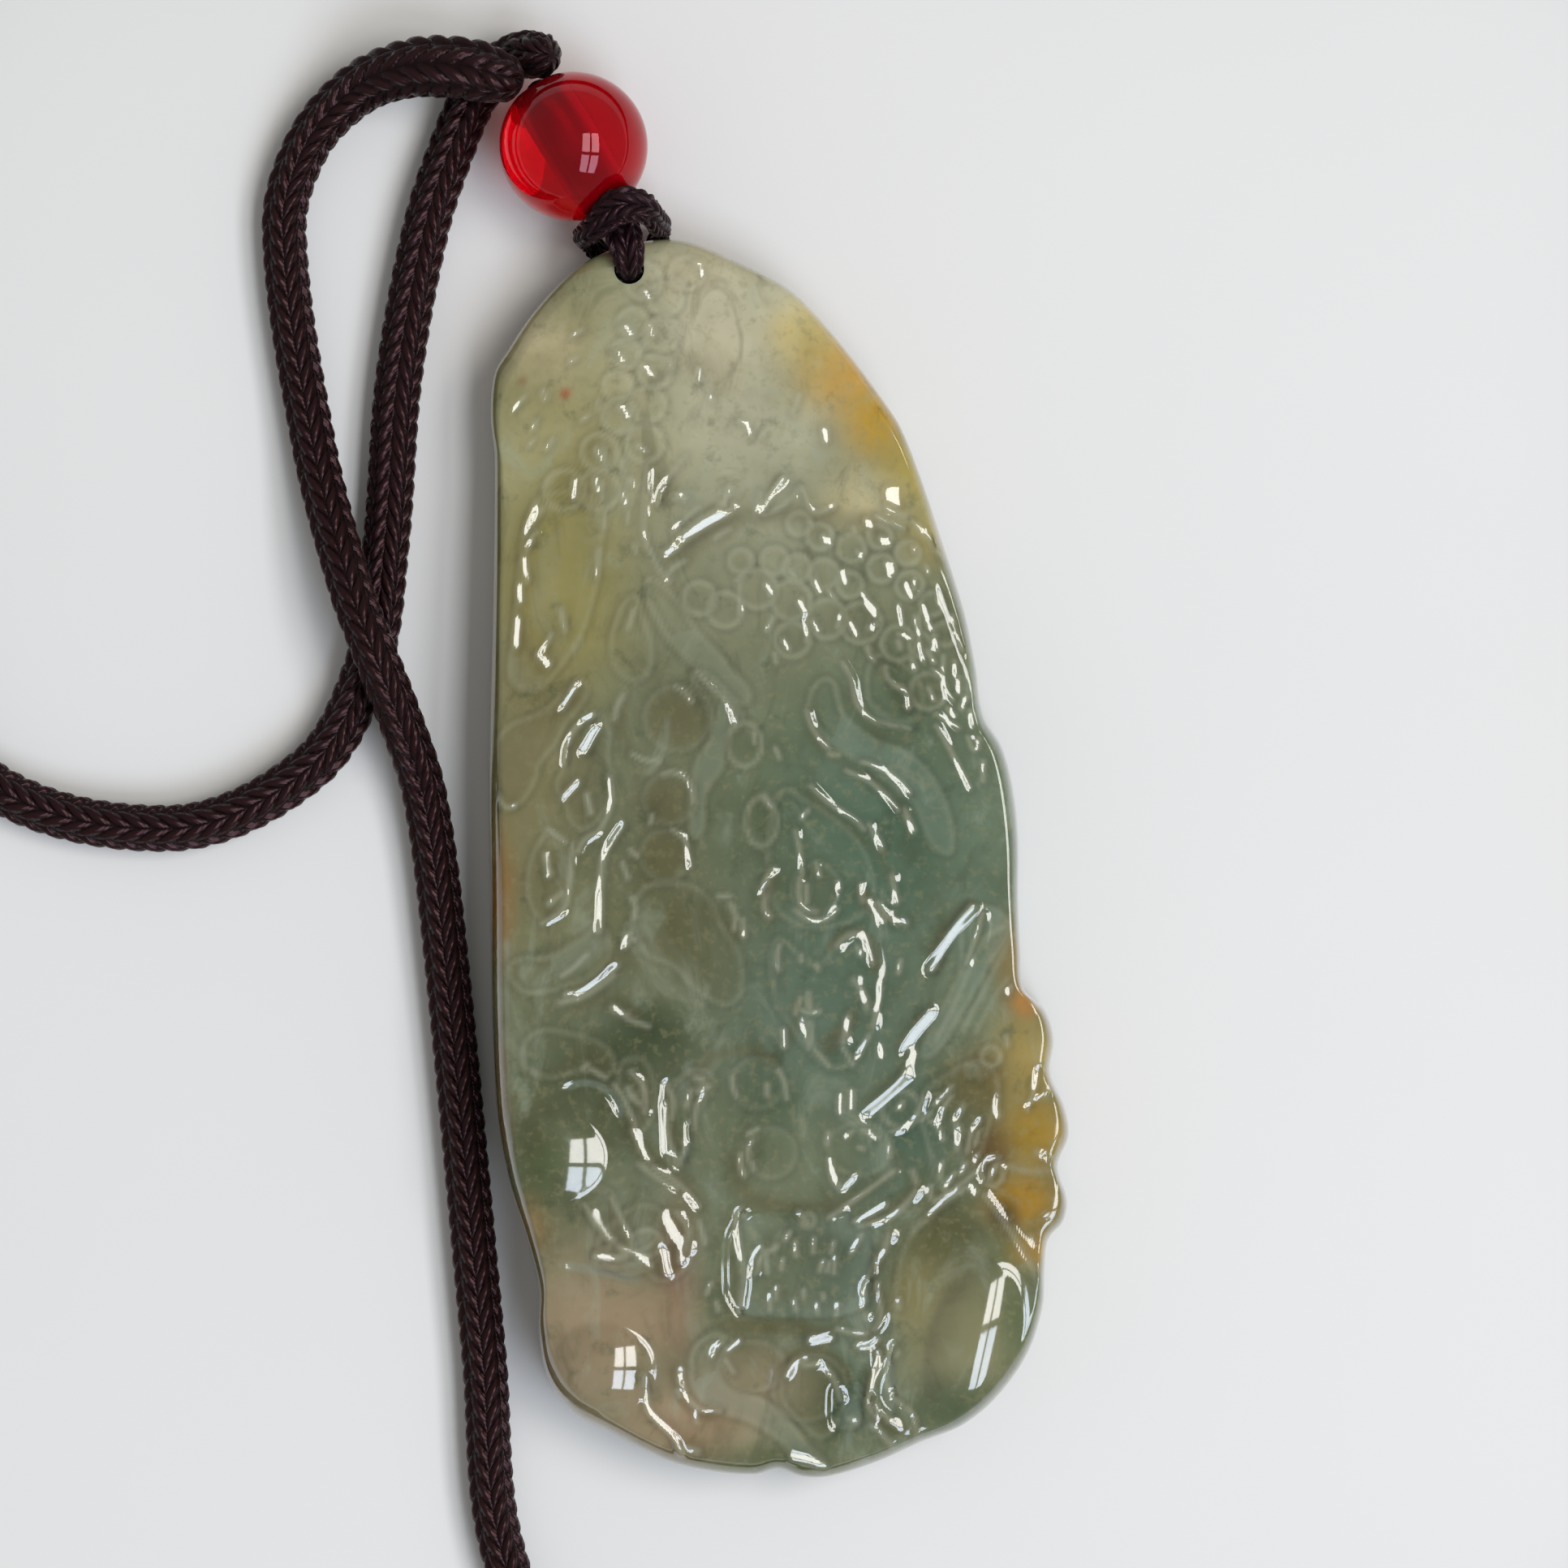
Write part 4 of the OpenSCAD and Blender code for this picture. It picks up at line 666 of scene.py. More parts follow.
# Deeper edges between one lobe and the next: half width, depth, then the line
EDGES = [
    (0.4, 0.12, (12.2, -16.3), (13.5, -16.7), (15.2, -16.4)),
    (0.4, 0.12, (12.4, -12.6), (13.5, -12.9), (15.0, -12.4)),
    (0.4, 0.12, (12.6, -19.2), (13.8, -20.4), (15.0, -20.2)),
    (0.35, 0.3, (-11.4, -12.2), (-10.2, -11.9), (-9.0, -12.4), (-8.2, -13.8)),
    (0.5, 0.3, (-11.4, -21.6), (-9.6, -21.9), (-7.4, -22.4)),
    (0.3, 0.12, (8.6, 14.6), (9.6, 11.8), (10.6, 9.3)),
    (0.25, 0.16, (-14.4, -4.0), (-14.4, -10.0), (-14.3, -14.0)),
]

# Slopes that send the light of each of the four panes up to the camera, and the way to the light
LIT_SLOPES = np.array([(-0.19, -0.04), (-0.3, -0.04), (-0.19, 0.25), (-0.3, 0.25)])
LIT_WAY = np.array([0.97, -0.24])
# Steps of the front's grid, steps round the outline, and the steps that the calm outline's running mean spans
GRID_X, GRID_Y = 190, 404
ROUND_STEPS, CALM_STEPS = 720, range(-42, 43, 3)
# Shading beside the cuts, and how far it reaches past each
CUT_DARK, CUT_DARK_W = 0.4, 0.25
# A cut with a half width above this is a flat facet
FACET_W = 0.25
# The lit flank of a fine cut lies this many half widths beside its middle line
FLANK_AT = 0.7
# Least and most slope across a cut, most slope along it, most fall over its length and most lift of a facet
LEAST_TURN, MOST_TURN, MOST_ALONG, MAX_FALL, MAX_LIFT = 0.1, 0.5, 0.3, 0.18, 0.25
# Steepest slope of the bell exp(-t^2)
BELL_STEEPEST = 0.86
# The painted highlight line on a cut is no wider than this, and that of a cut only drawn is this strong
HIGHLIGHT_LINE_W, DRAWN_HIGHLIGHT = 0.2, 0.5
# How far the points reached by a cut, a band or an outline lie from its line, the first two in half widths
CUT_REACH, BAND_REACH, FORM_REACH = 3.2, 2.6, 0.8
# Share of its height that a stroke keeps at its very ends
END_SHARE = 0.35
# Painted highlight rings round domes up to this size are stronger than those round bigger ones
SCALE_SIZE = 1.1
RING_HIGHLIGHT, BOSS_HIGHLIGHT = 0.66, 0.24
# Edge of the front: rounded over this width, less at the right, then nearly flat
EDGE_ROUND, EDGE_SHARPER = 1.0, 0.4
# The rounding stops at this part of a quarter circle, which leaves a fine edge
BEVEL_PART = 0.78
FRONT_DOME = 0.05
# The relief begins over this share of the way in from the edge
HOLD_BY = 0.05
# How much of the tables' height each kind of form keeps
DOME_KEEP, STEP_KEEP, BAND_KEEP, EDGE_KEEP, FORM_KEEP = 0.14, 0.12, 0.13, 0.6, 0.16
# A deep edge is this much narrower than a band
EDGE_NARROW = 0.6
# Width of the steep step round a dome or form, half width of a drawn line, and how far outside its shade lies
STEP_W, LINE_W, SHADE_AT = 0.36, 0.17, 1.5
# How strongly the outlined forms are lined with painted shade and with a painted highlight line
OUTLINE_SHADE, OUTLINE_HIGHLIGHT = 0.35, 0.3
# How dark a dome looks for its rise, and a raised form for its height above what surrounds it
DOME_TONE, RELIEF_TONE = 0.5, 1.2
# Reach in grid steps, and turns, of the blur that gives what surrounds a form
BLUR_REACH, BLUR_TURNS = 4, 5
TINY = 1e-9


def bell(far):
    """exp(-far^2)."""
    return np.exp(-(far**2))


def smooth_step(share):
    """3t^2 - 2t^3 with t the share held between 0 and 1."""
    t = np.clip(share, 0, 1)
    return t * t * (3 - 2 * t)


def scaled_outline(angle, calm):
    """Distance of the outline from the middle at each angle, in a frame where the carving is two units wide
    and two long: the cubic through the outline's points, or its running mean for the calm one."""
    rows = np.array(OUTLINE + OUTLINE[:1])
    dense = smooth_line(np.vstack([rows[-3:-1], rows, rows[1:3]]), OUTLINE_STEP)[0]
    x, y = dense[:, 0] / HALF_W, (dense[:, 1] - MIDDLE_Y) / HALF_L
    turn = np.arctan2(y, x)
    order = np.argsort(turn)
    even = np.linspace(-math.pi, math.pi, ROUND_STEPS, endpoint=False)
    far = np.interp(even, turn[order], np.hypot(x, y)[order], period=2 * math.pi)
    if calm:
        far = np.mean([np.roll(far, k) for k in CALM_STEPS], axis=0)
    return np.interp(angle, even, far, period=2 * math.pi)


def along_stroke(x, y, line):
    """For points near a stroke: their distance from it, the run of the nearest place along it from 0 to 1
    and the direction of the stroke there, then the stroke's length."""
    line = np.asarray(line, float)
    best = np.full(x.shape, np.inf)
    run = np.zeros(x.shape)
    way = np.zeros(x.shape + (2,))
    stretch = np.linalg.norm(np.diff(line, axis=0), axis=1)
    total = stretch.sum()
    passed = 0.0
    for start, stop, length in zip(line[:-1], line[1:], stretch):
        direction = (stop - start) / length
        t = np.clip((x - start[0]) * direction[0] + (y - start[1]) * direction[1], 0, length)
        dx, dy = x - start[0] - t * direction[0], y - start[1] - t * direction[1]
        nearer = np.hypot(dx, dy) < best
        best = np.where(nearer, np.hypot(dx, dy), best)
        run = np.where(nearer, (passed + t) / total, run)
        way = np.where(nearer[..., None], direction, way)
        passed += length
    return best, run, way, total


def near(x, y, line, reach):
    """Numbers of the points inside the box round a stroke, widened by reach."""
    low, high = np.min(line, axis=0) - reach, np.max(line, axis=0) + reach
    return np.nonzero((x > low[0]) & (x < high[0]) & (y > low[1]) & (y < high[1]))[0]


def within(x, y, outline):
    """Whether each point is inside a closed outline, by counting the sides that pass to its right."""
    crossings = np.zeros(x.shape, bool)
    for start, stop in zip(outline, np.roll(outline, -1, axis=0)):
        spans = (start[1] > y) != (stop[1] > y)
        rise = stop[1] - start[1] if stop[1] != start[1] else TINY
        crossings ^= spans & (x < start[0] + (y - start[1]) * (stop[0] - start[0]) / rise)
    return crossings


def curved(line):
    """The stroke as a smooth line if it has more than two points."""
    return np.array(line, float) if len(line) == 2 else smooth_line(line, OUTLINE_STEP)[0]


def fade(run, total, w):
    """1 along a stroke and END_SHARE at its very ends, over about its own width."""
    end = np.clip(np.minimum(run, 1 - run) * total / w, 0, 1)
    return END_SHARE + (1 - END_SHARE) * end * (2 - end)


def ridge(x, y, w, narrow, line):
    """Numbers of the points near a stroke, and there a bell across it, faded at both ends."""
    line = curved(line)
    at = near(x, y, line, BAND_REACH * w)
    far, run, _, total = along_stroke(x[at], y[at], line)
    return at, bell(far / w / narrow) * fade(run, total, 2 * w)


def add_big_forms(x, y):
    """Height of all forms but the fine cuts, then the same forms at full height, their own tone, the painted
    shade and the painted highlight lines round them. With q the distance from a form's middle in half sizes:
    a hill is the bell exp(-q^2), a round cap 1-q^2, running out as an exponential from CAP_FOOT on, and a
    dome 1-q^2 on a steep smooth step. An outlined form is a smooth step at its outline, a hollow one
    downwards, and a band or edge a bell across its line."""
    z, drawn, flat, shade, painted_highlight = np.zeros((5,) + x.shape)
    for mx, my, w, h, rise in HILLS:
        z += rise * np.exp(-((x - mx) / w) ** 2 - ((y - my) / h) ** 2)
    for mx, my, w, h, rise, turn in CAPS:
        cos, sin = math.cos(math.radians(turn)), math.sin(math.radians(turn))
        across, along = (x - mx) * cos - (y - my) * sin, (x - mx) * sin + (y - my) * cos
        level = 1 - (across / w) ** 2 - (along / h) ** 2
        z += rise * np.where(level > CAP_FOOT, level, CAP_FOOT * np.exp(np.minimum(level / CAP_FOOT - 1, 0)))
    for w, rise, *line in BANDS:
        at, height = ridge(x, y, w, 1, line)
        z[at] += BAND_KEEP * rise * height
        drawn[at] += rise * height
    for w, depth, *line in EDGES:
        at, height = ridge(x, y, w, EDGE_NARROW, line)
        z[at] -= EDGE_KEEP * depth * height
        drawn[at] -= depth * height
    for mx, my, w, h, rise, groove in DOMES:
        size = (w + h) / 2
        q = np.hypot((x - mx) / w, (y - my) / h)
        step = smooth_step((1 - q) * size / STEP_W + 0.5)
        z += DOME_KEEP * rise * np.clip(1 - q**2, 0, 1) + STEP_KEEP * groove * step
        flat += DOME_TONE * rise * step
        # Painted shade just outside the dome, and a painted highlight ring on its edge
        shade += OUTLINE_SHADE * bell((q - 1) * size / LINE_W - SHADE_AT)
        ring_pale = RING_HIGHLIGHT if size < SCALE_SIZE else BOSS_HIGHLIGHT
        painted_highlight = np.maximum(painted_highlight, ring_pale * bell((q - 1) * size / LINE_W))
    for dark, rise, *outline in FORMS:
        line = smooth_line(outline[-2:] + outline + outline[:2], OUTLINE_STEP)[0]
        at = near(x, y, line, FORM_REACH)
        far = along_stroke(x[at], y[at], line)[0]
        inside = np.where(within(x[at], y[at], line), far, -far)
        step = smooth_step(inside / STEP_W + 0.5)
        z[at] += FORM_KEEP * rise * step
        flat[at] += dark * step
        # Painted shade just outside the form, and a painted highlight line on its outline
        shade[at] += OUTLINE_SHADE * bell(inside / LINE_W + SHADE_AT)
        painted_highlight[at] = np.maximum(painted_highlight[at], OUTLINE_HIGHLIGHT * bell(inside / LINE_W))
    for mx, my, w, h, depth, soft in HOLLOWS:
        q = (((x - mx) / w) ** 4 + ((y - my) / h) ** 4) ** 0.25
        step = depth * smooth_step((1 - q) * (w + h) / 4 / soft + 0.5)
        z -= step
        drawn -= step
    return z, drawn, flat, shade, painted_highlight


def add_cuts(x, y, z, fall_x, fall_y):
    """Height with the cuts, their painted shade and their painted highlight lines. Across a fine one the
    surface goes down and up again as a bell, deep enough that the flank that faces the light has the slope
    that catches it, and it falls along its length as much as the light needs. A broad one is a plane with
    that slope, held in by exp(-far^6). Where cuts cross, the later one counts."""
    cut, shade, painted_highlight = np.zeros((3,) + x.shape)
    for row in CUTS:
        w, gain, *line = (FINE_W, JUST_LIT, *row) if isinstance(row[0], tuple) else row
        line = curved(line)
        at = near(x, y, line, CUT_REACH * w)
        drawn_far = along_stroke(x[at], y[at], line)[0]
        if gain == DRAWN_ONLY:
            # A cut only drawn gets a painted highlight line and no cut
            painted_highlight[at] = np.maximum(painted_highlight[at], DRAWN_HIGHLIGHT * bell(drawn_far / LINE_W))
            continue
        facet = w > FACET_W
        lie = unit(line[-1] - line[0])
        lit = LIT_SLOPES[np.argmin(np.abs(LIT_SLOPES @ lie))]
        # Painted shade beside the cut, and a painted highlight line along it
        shade[at] = np.maximum(shade[at], CUT_DARK * bell(drawn_far / (w + CUT_DARK_W)))
        painted_highlight[at] = np.maximum(painted_highlight[at], bell(drawn_far / min(w, HIGHLIGHT_LINE_W)))
        shift = 0 if facet else w * FLANK_AT * LIT_WAY
        far, run, way, total = along_stroke(x[at], y[at], line + shift)
        held = np.exp(-((far / w) ** (6 if facet else 2)))
        if facet:
            centre = (line[0] + line[-1]) / 2
            level = np.average(z[at], weights=held + TINY)
            plane = level + (x[at] - centre[0]) * lit[0] * gain + (y[at] - centre[1]) * lit[1] * gain
            lift = np.clip(plane - z[at], -MAX_LIFT, MAX_LIFT)
        else:
            wanted = (lit - np.stack([fall_x[at], fall_y[at]], axis=1)) * gain
            normal = np.stack([way[:, 1], -way[:, 0]], axis=1)
            normal *= np.sign(normal @ LIT_WAY + TINY)[:, None]
            turn_to = np.clip(-(normal * wanted).sum(axis=1), LEAST_TURN, MOST_TURN)
            along = np.clip((way * wanted).sum(axis=1), -MOST_ALONG, MOST_ALONG)
            ramp = np.clip(along * (run - 0.5) * total, -MAX_FALL, MAX_FALL)
            lift = ramp - turn_to * w / BELL_STEEPEST * fade(run, total, w)
        cut[at] += (lift - cut[at]) * held
    return z + cut, shade, painted_highlight


def smoothstep_table(at, rows):
    """Table with a smooth step between its rows."""
    keys, values = np.array(rows, float).T
    row = np.clip(np.searchsorted(keys, at) - 1, 0, len(keys) - 2)
    share = smooth_step((at - keys[row]) / (keys[row + 1] - keys[row]))
    return values[row] + (values[row + 1] - values[row]) * share


# Smaller squares of a bent grid count as this large, in square millimetres
LEAST_SQUARE = 1e-6


def slopes(x, y, z):
    """Slope of a height given on a bent grid, to the right and up."""
    du = [np.gradient(part, axis=1) for part in (x, y, z)]
    dv = [np.gradient(part, axis=0) for part in (x, y, z)]
    area = du[0] * dv[1] - du[1] * dv[0]
    area = np.where(np.abs(area) < LEAST_SQUARE, LEAST_SQUARE, area)
    return (du[2] * dv[1] - du[1] * dv[2]) / area, (du[0] * dv[2] - du[2] * dv[0]) / area


def blurred(values):
    """Running mean of a grid's values both ways, BLUR_TURNS times."""
    inner = slice(BLUR_REACH, -BLUR_REACH)
    for axis in (0, 1) * BLUR_TURNS:
        padded = np.pad(values, BLUR_REACH, mode="edge")
        moved = [np.roll(padded, -k, axis) for k in range(-BLUR_REACH, BLUR_REACH + 1, 2)]
        values = np.mean(moved, axis=0)[inner, inner]
    return values


def back_height(y):
    """Height of the back: flat on the table, then rising evenly towards the top."""
    return BACK_LIFT * np.clip((y - LIFT_FROM_Y) / (MIDDLE_Y + HALF_L - LIFT_FROM_Y), 0, 1)


def front_face():
    """The carved front: a square grid bent to a disc and stretched to the outline. Its height is RIM_H plus
    CROWN_RISE times the share for its place along the stone times the rounding of the edge, a part of a
    quarter circle, and a slight dome. Returns x, y, that height, and how far the relief has begun."""
    u, v = np.meshgrid(np.linspace(-1, 1, GRID_X + 1), np.linspace(-1, 1, GRID_Y + 1))
    disc_x, disc_y = u * np.sqrt(1 - v**2 / 2), v * np.sqrt(1 - u**2 / 2)
    radius = np.hypot(disc_x, disc_y)
    angle = np.arctan2(disc_y, disc_x)
    full, calm = scaled_outline(angle, False), scaled_outline(angle, True)
    reach = full + (calm - full) * np.clip((1 - radius) / CALM_BY, 0, 1)
    x = HALF_W * disc_x * reach
    y = MIDDLE_Y + HALF_L * disc_y * reach
    inward = np.clip(1 - radius, 0, 1)
    rim_far = full * np.hypot(HALF_W * np.cos(angle), HALF_L * np.sin(angle))
    edge_round = (EDGE_ROUND - EDGE_SHARPER * np.clip(np.cos(angle), 0, 1)) / rim_far
    bevel = np.clip(inward / edge_round, 0, 1) * BEVEL_PART
    crown = np.sqrt(1 - (1 - bevel) ** 2) / math.sqrt(1 - (1 - BEVEL_PART) ** 2)
    crown *= 1 - FRONT_DOME * (1 - inward) ** 2
    near_rim = np.clip(inward / HOLD_BY, 0, 1)
    return x, y, RIM_H + crown * CROWN_RISE * smoothstep_table(y, CROWN_Y_SHARE), near_rim * (2 - near_rim)


def on_grid(work, *grids):
    """The results of a function that works on plain rows of points, as grids again."""
    return [part.reshape(grids[0].shape) for part in work(*(grid.ravel() for grid in grids))]


# Rings down the side and over the back: share of the outline, and height as a share of the way up to the rim
SIDE_RINGS = [
    (1, 0.8), (1, 0.6), (1, 0.42), (1, 0.28), (0.998, 0.16), (0.99, 0.07), (0.975, 0.02), (0.93, 0),
    (0.8, 0), (0.6, 0), (0.4, 0), (0.2, 0),
]


def carving():
    """The stone: its front with the relief, rings down the side, a rounded back edge and a flat back closed
    in the middle. Returns points, quads, triangles, and for the front points their tone, painted shade and
    painted highlight lines."""
    x, y, face, hold = front_face()
    forms, drawn, flat, shade, rings = on_grid(add_big_forms, x, y)
    big = face + hold * forms
    cut, cut_shade, painted_highlight = on_grid(add_cuts, x, y, big, *slopes(x, y, big))
    top = big + hold * (cut - big)
    # The front's tone, its painted shade, and its painted highlight lines from the forms and the cuts
    front_values = {
        "tone": np.clip(0.5 + ((drawn - blurred(drawn)) * RELIEF_TONE + flat) * hold, 0, 1),
        "shade": np.clip(np.maximum(shade, cut_shade), 0, 1) * hold,
        "painted_highlight": np.maximum(painted_highlight, rings) * hold,
    }

    number = np.arange(x.size).reshape(x.shape)
    rim = np.concatenate([number[0, :-1], number[:-1, -1], number[-1, :0:-1], number[:0:-1, 0]])
    rim_x, rim_y = x.ravel()[rim], y.ravel()[rim]
    points = [np.stack([x.ravel(), y.ravel(), top.ravel()], axis=1)]
    corners = number[:-1, :-1], number[:-1, 1:], number[1:, 1:], number[1:, :-1]
    quads = [np.stack(corners, axis=-1).reshape(-1, 4)]
    upper = rim
    for ring, (share, level) in enumerate(SIDE_RINGS):
        ring_y = MIDDLE_Y + (rim_y - MIDDLE_Y) * share
        low = back_height(ring_y)
        points.append(np.stack([rim_x * share, ring_y, low + (RIM_H - low) * level], axis=1))
        lower = x.size + ring * len(rim) + np.arange(len(rim))
        quads.append(np.stack([upper, lower, np.roll(lower, -1), np.roll(upper, -1)], axis=1))
        upper = lower
    points.append(np.array([[0.0, MIDDLE_Y, 0.0]]))
    middle = np.full(len(rim), x.size + len(SIDE_RINGS) * len(rim))
    cap = np.stack([upper, middle, np.roll(upper, -1)], axis=1)
    return np.concatenate(points), np.concatenate(quads), cap, front_values


stone_points, stone_quads, stone_cap, front_values = carving()
stone = new_object("carved_jade", stone_points, stone_quads, stone_cap)


# The drill's lowest and highest place, its sides, and the part of a side that its first corner is turned by
DRILL_LOW, DRILL_HIGH, DRILL_SIDES, DRILL_TURN = -2.0, 12.0, 64, 0.87
SHARP_FROM = math.radians(62)


def drill(piece, at, hole_r):
    """Cuts a straight round hole through the stone with a cylinder, and keeps the result as the piece's
    mesh."""
    sides = DRILL_SIDES
    angle = 2 * math.pi * (np.arange(sides) + DRILL_TURN) / sides
    circle = np.stack([at[0] + hole_r * np.cos(angle), at[1] + hole_r * np.sin(angle)], axis=1)
    low = np.column_stack([circle, np.full(sides, DRILL_LOW)])
    high = np.column_stack([circle, np.full(sides, DRILL_HIGH)])
    ends = np.array([(*at, DRILL_LOW), (*at, DRILL_HIGH)])
    side = np.arange(sides)
    beside = (side + 1) % sides
    wall = np.stack([side, beside, sides + beside, sides + side], axis=1)
    floor_fan = np.stack([beside, side, np.full(sides, 2 * sides)], axis=1)
    roof_fan = np.stack([sides + side, sides + beside, np.full(sides, 2 * sides + 1)], axis=1)
    fans = np.concatenate([floor_fan, roof_fan])
    drill_rod = new_object("drill_rod", np.concatenate([low, high, ends]), wall, fans)
    cut = piece.modifiers.new("hole", "BOOLEAN")
    cut.operation = "DIFFERENCE"
    cut.solver = "EXACT"
    cut.object = drill_rod
    graph = bpy.context.evaluated_depsgraph_get()
    drilled = bpy.data.meshes.new_from_object(piece.evaluated_get(graph))
    piece.modifiers.remove(cut)
    piece.data = drilled
    drilled.name = piece.name
    drilled.shade_smooth()
    drilled.set_sharp_from_angle(angle=SHARP_FROM)
    bpy.data.objects.remove(drill_rod)


# Values of the front points, and those of the sides and back: tone, painted shade and painted highlight lines
for layer_name, elsewhere in (("tone", 0.5), ("shade", 0.0), ("painted_highlight", 0.0)):
    layer = stone.data.attributes.new(layer_name, "FLOAT", "POINT")
    values = np.full(len(stone_points), elsewhere, np.float32)
    values[:front_values[layer_name].size] = front_values[layer_name].ravel()
    layer.data.foreach_set("value", values)
drill(stone, HOLE_AT, HOLE_R)

# Colour of the stone, as seen, from 0 to 255: the ground colour, then soft spots of x, y, half width, half
# height, strength and colour
STONE_GROUND = (118, 124, 96)
STONE_SPOTS = [
    (-6.0, 25.0, 13.0, 12.0, 0.9, (168, 165, 132)), (2.5, 30.0, 5.0, 4.5, 0.8, (206, 200, 166)),
    (-1.6, 25.0, 5.4, 8.0, 0.75, (184, 182, 156)), (-12.0, 21.5, 4.5, 8.5, 0.75, (158, 150, 100)),
    (-11.4, 14.0, 3.6, 5.0, 0.8, (150, 138, 66)), (0.0, 15.0, 9.0, 5.0, 0.7, (144, 146, 118)),
    (3.5, 26.1, 2.0, 2.0, 1.0, (194, 142, 22)), (5.3, 23.6, 2.0, 2.3, 0.9, (192, 152, 52)),
    (6.9, 20.6, 1.7, 2.2, 0.8, (172, 152, 70)), (7.9, 17.4, 1.4, 1.9, 0.8, (178, 164, 106)),
    (1.2, 28.2, 1.8, 1.5, 0.8, (212, 192, 128)), (2.2, 26.6, 2.2, 2.6, 0.5, (196, 176, 108)),
    (-3.8, 28.7, 2.2, 2.0, 0.6, (194, 190, 164)), (5.2, 1.0, 6.6, 9.0, 0.85, (86, 114, 94)),
    (2.0, -9.0, 6.0, 6.0, 0.75, (92, 114, 98)), (7.2, -15.4, 2.6, 4.2, 0.8, (86, 114, 98)),
    (4.4, -22.0, 3.2, 5.0, 0.7, (94, 112, 96)), (10.8, -1.0, 1.8, 8.0, 0.6, (116, 136, 114)),
    (-5.4, 7.5, 1.8, 1.8, 0.6, (108, 104, 72)), (-6.3, 3.2, 1.9, 1.5, 0.6, (108, 104, 74)),
    (-6.1, 0.2, 1.6, 1.5, 0.6, (108, 102, 70)), (-2.0, 6.2, 1.3, 1.3, 0.4, (98, 110, 84)),
    (-13.6, 5.0, 3.4, 10.0, 0.6, (142, 130, 88)), (-15.0, -2.0, 1.0, 3.6, 0.8, (150, 108, 48)),
    (-6.6, -4.0, 3.6, 5.0, 0.7, (98, 98, 66)), (-10.4, -3.2, 2.6, 2.6, 0.5, (132, 132, 98)),
    (-9.4, -11.6, 4.6, 3.2, 0.85, (78, 86, 60)), (-13.1, -15.6, 1.4, 3.8, 0.75, (88, 90, 58)),
    (-12.4, -16.6, 1.8, 2.2, 0.6, (70, 84, 52)), (-5.0, -11.0, 2.4, 3.0, 0.4, (98, 104, 82)),
    (-10.6, -25.4, 4.6, 5.2, 0.8, (164, 142, 114)), (-5.4, -22.6, 1.2, 4.4, 0.7, (138, 106, 84)),
    (-4.8, -30.0, 3.8, 2.2, 0.9, (170, 146, 116)), (-7.6, -24.4, 2.6, 1.8, 0.7, (164, 142, 112)),
    (-9.0, -14.6, 1.6, 1.4, 0.6, (84, 88, 58)), (0.0, -12.8, 1.8, 1.2, 0.6, (80, 98, 74)),
    (-14.8, -13.0, 0.6, 5.0, 0.6, (132, 104, 70)), (-13.6, -19.6, 1.3, 1.6, 0.9, (144, 116, 74)),
    (8.0, -21.0, 2.2, 4.6, 0.85, (104, 102, 66)), (9.4, -19.4, 1.4, 1.8, 0.6, (84, 84, 50)),
    (9.6, -25.4, 3.4, 3.2, 0.9, (146, 144, 108)), (7.2, -23.2, 1.4, 1.8, 0.7, (146, 138, 94)),
    (12.8, -24.4, 1.2, 2.6, 0.7, (90, 104, 74)), (9.4, -29.2, 2.8, 1.6, 0.8, (84, 100, 74)),
    (12.4, -20.8, 1.0, 1.6, 0.6, (108, 110, 66)), (13.2, -10.6, 2.0, 2.8, 0.9, (172, 150, 86)),
    (13.6, -14.6, 2.0, 2.0, 0.9, (176, 142, 58)), (13.0, -18.2, 1.9, 1.6, 1.0, (176, 136, 4)),
    (10.6, -11.8, 1.6, 1.7, 0.8, (118, 98, 30)), (11.2, -15.4, 1.3, 1.3, 0.85, (114, 88, 4)),
    (13.6, -20.8, 1.2, 1.0, 0.8, (176, 136, 34)), (12.6, -5.6, 1.2, 2.4, 0.7, (150, 124, 76)),
    (13.2, -7.6, 0.8, 0.8, 0.7, (196, 132, 54)), (3.6, -29.0, 1.6, 2.2, 0.95, (52, 76, 50)),
    (-0.8, -32.0, 2.2, 0.9, 0.6, (84, 92, 58)), (-1.4, -27.8, 2.8, 2.2, 0.8, (160, 148, 120)),
    (1.0, -21.8, 3.8, 2.8, 0.4, (100, 112, 92)), (-2.6, 0.6, 2.4, 3.6, 0.4, (98, 108, 84)),
    (6.2, -13.1, 1.5, 1.4, 0.3, (98, 108, 84)), (-11.4, 24.9, 0.3, 0.3, 0.9, (160, 84, 20)),
    (-13.7, 25.6, 0.3, 0.3, 0.7, (120, 84, 50)), (12.0, -19.0, 0.9, 0.9, 0.8, (80, 70, 28)),
    (-7.0, -9.2, 2.4, 1.7, 0.9, (66, 78, 54)), (9.5, -12.6, 1.6, 1.6, 0.6, (100, 100, 66)),
    (-1.5, 10.0, 4.0, 3.0, 0.4, (112, 118, 92)), (-12.6, 27.4, 2.0, 1.8, 0.8, (192, 180, 144)),
    (-4.8, 31.4, 2.6, 1.5, 0.8, (192, 182, 150)), (4.4, 19.2, 2.0, 1.6, 0.85, (198, 186, 142)),
    (-3.0, 27.4, 2.2, 2.6, 0.7, (202, 194, 164)),
]
# Light that the gloss adds to the colour seen, the share of it that the stone sends back itself, and the
# least that it sends back of any colour
GLOSS_ADDS = 0.03
STONE_SHARE = 0.86
LEAST_TINT = 0.004
# Painted light: the stone is made lighter towards the top, where it is thinner and lets more light through,
# from this height on, over this length, by this share
TOP_LIGHT_FROM, TOP_LIGHT_OVER, TOP_LIGHT_SHARE = 4.0, 16.0, 0.1
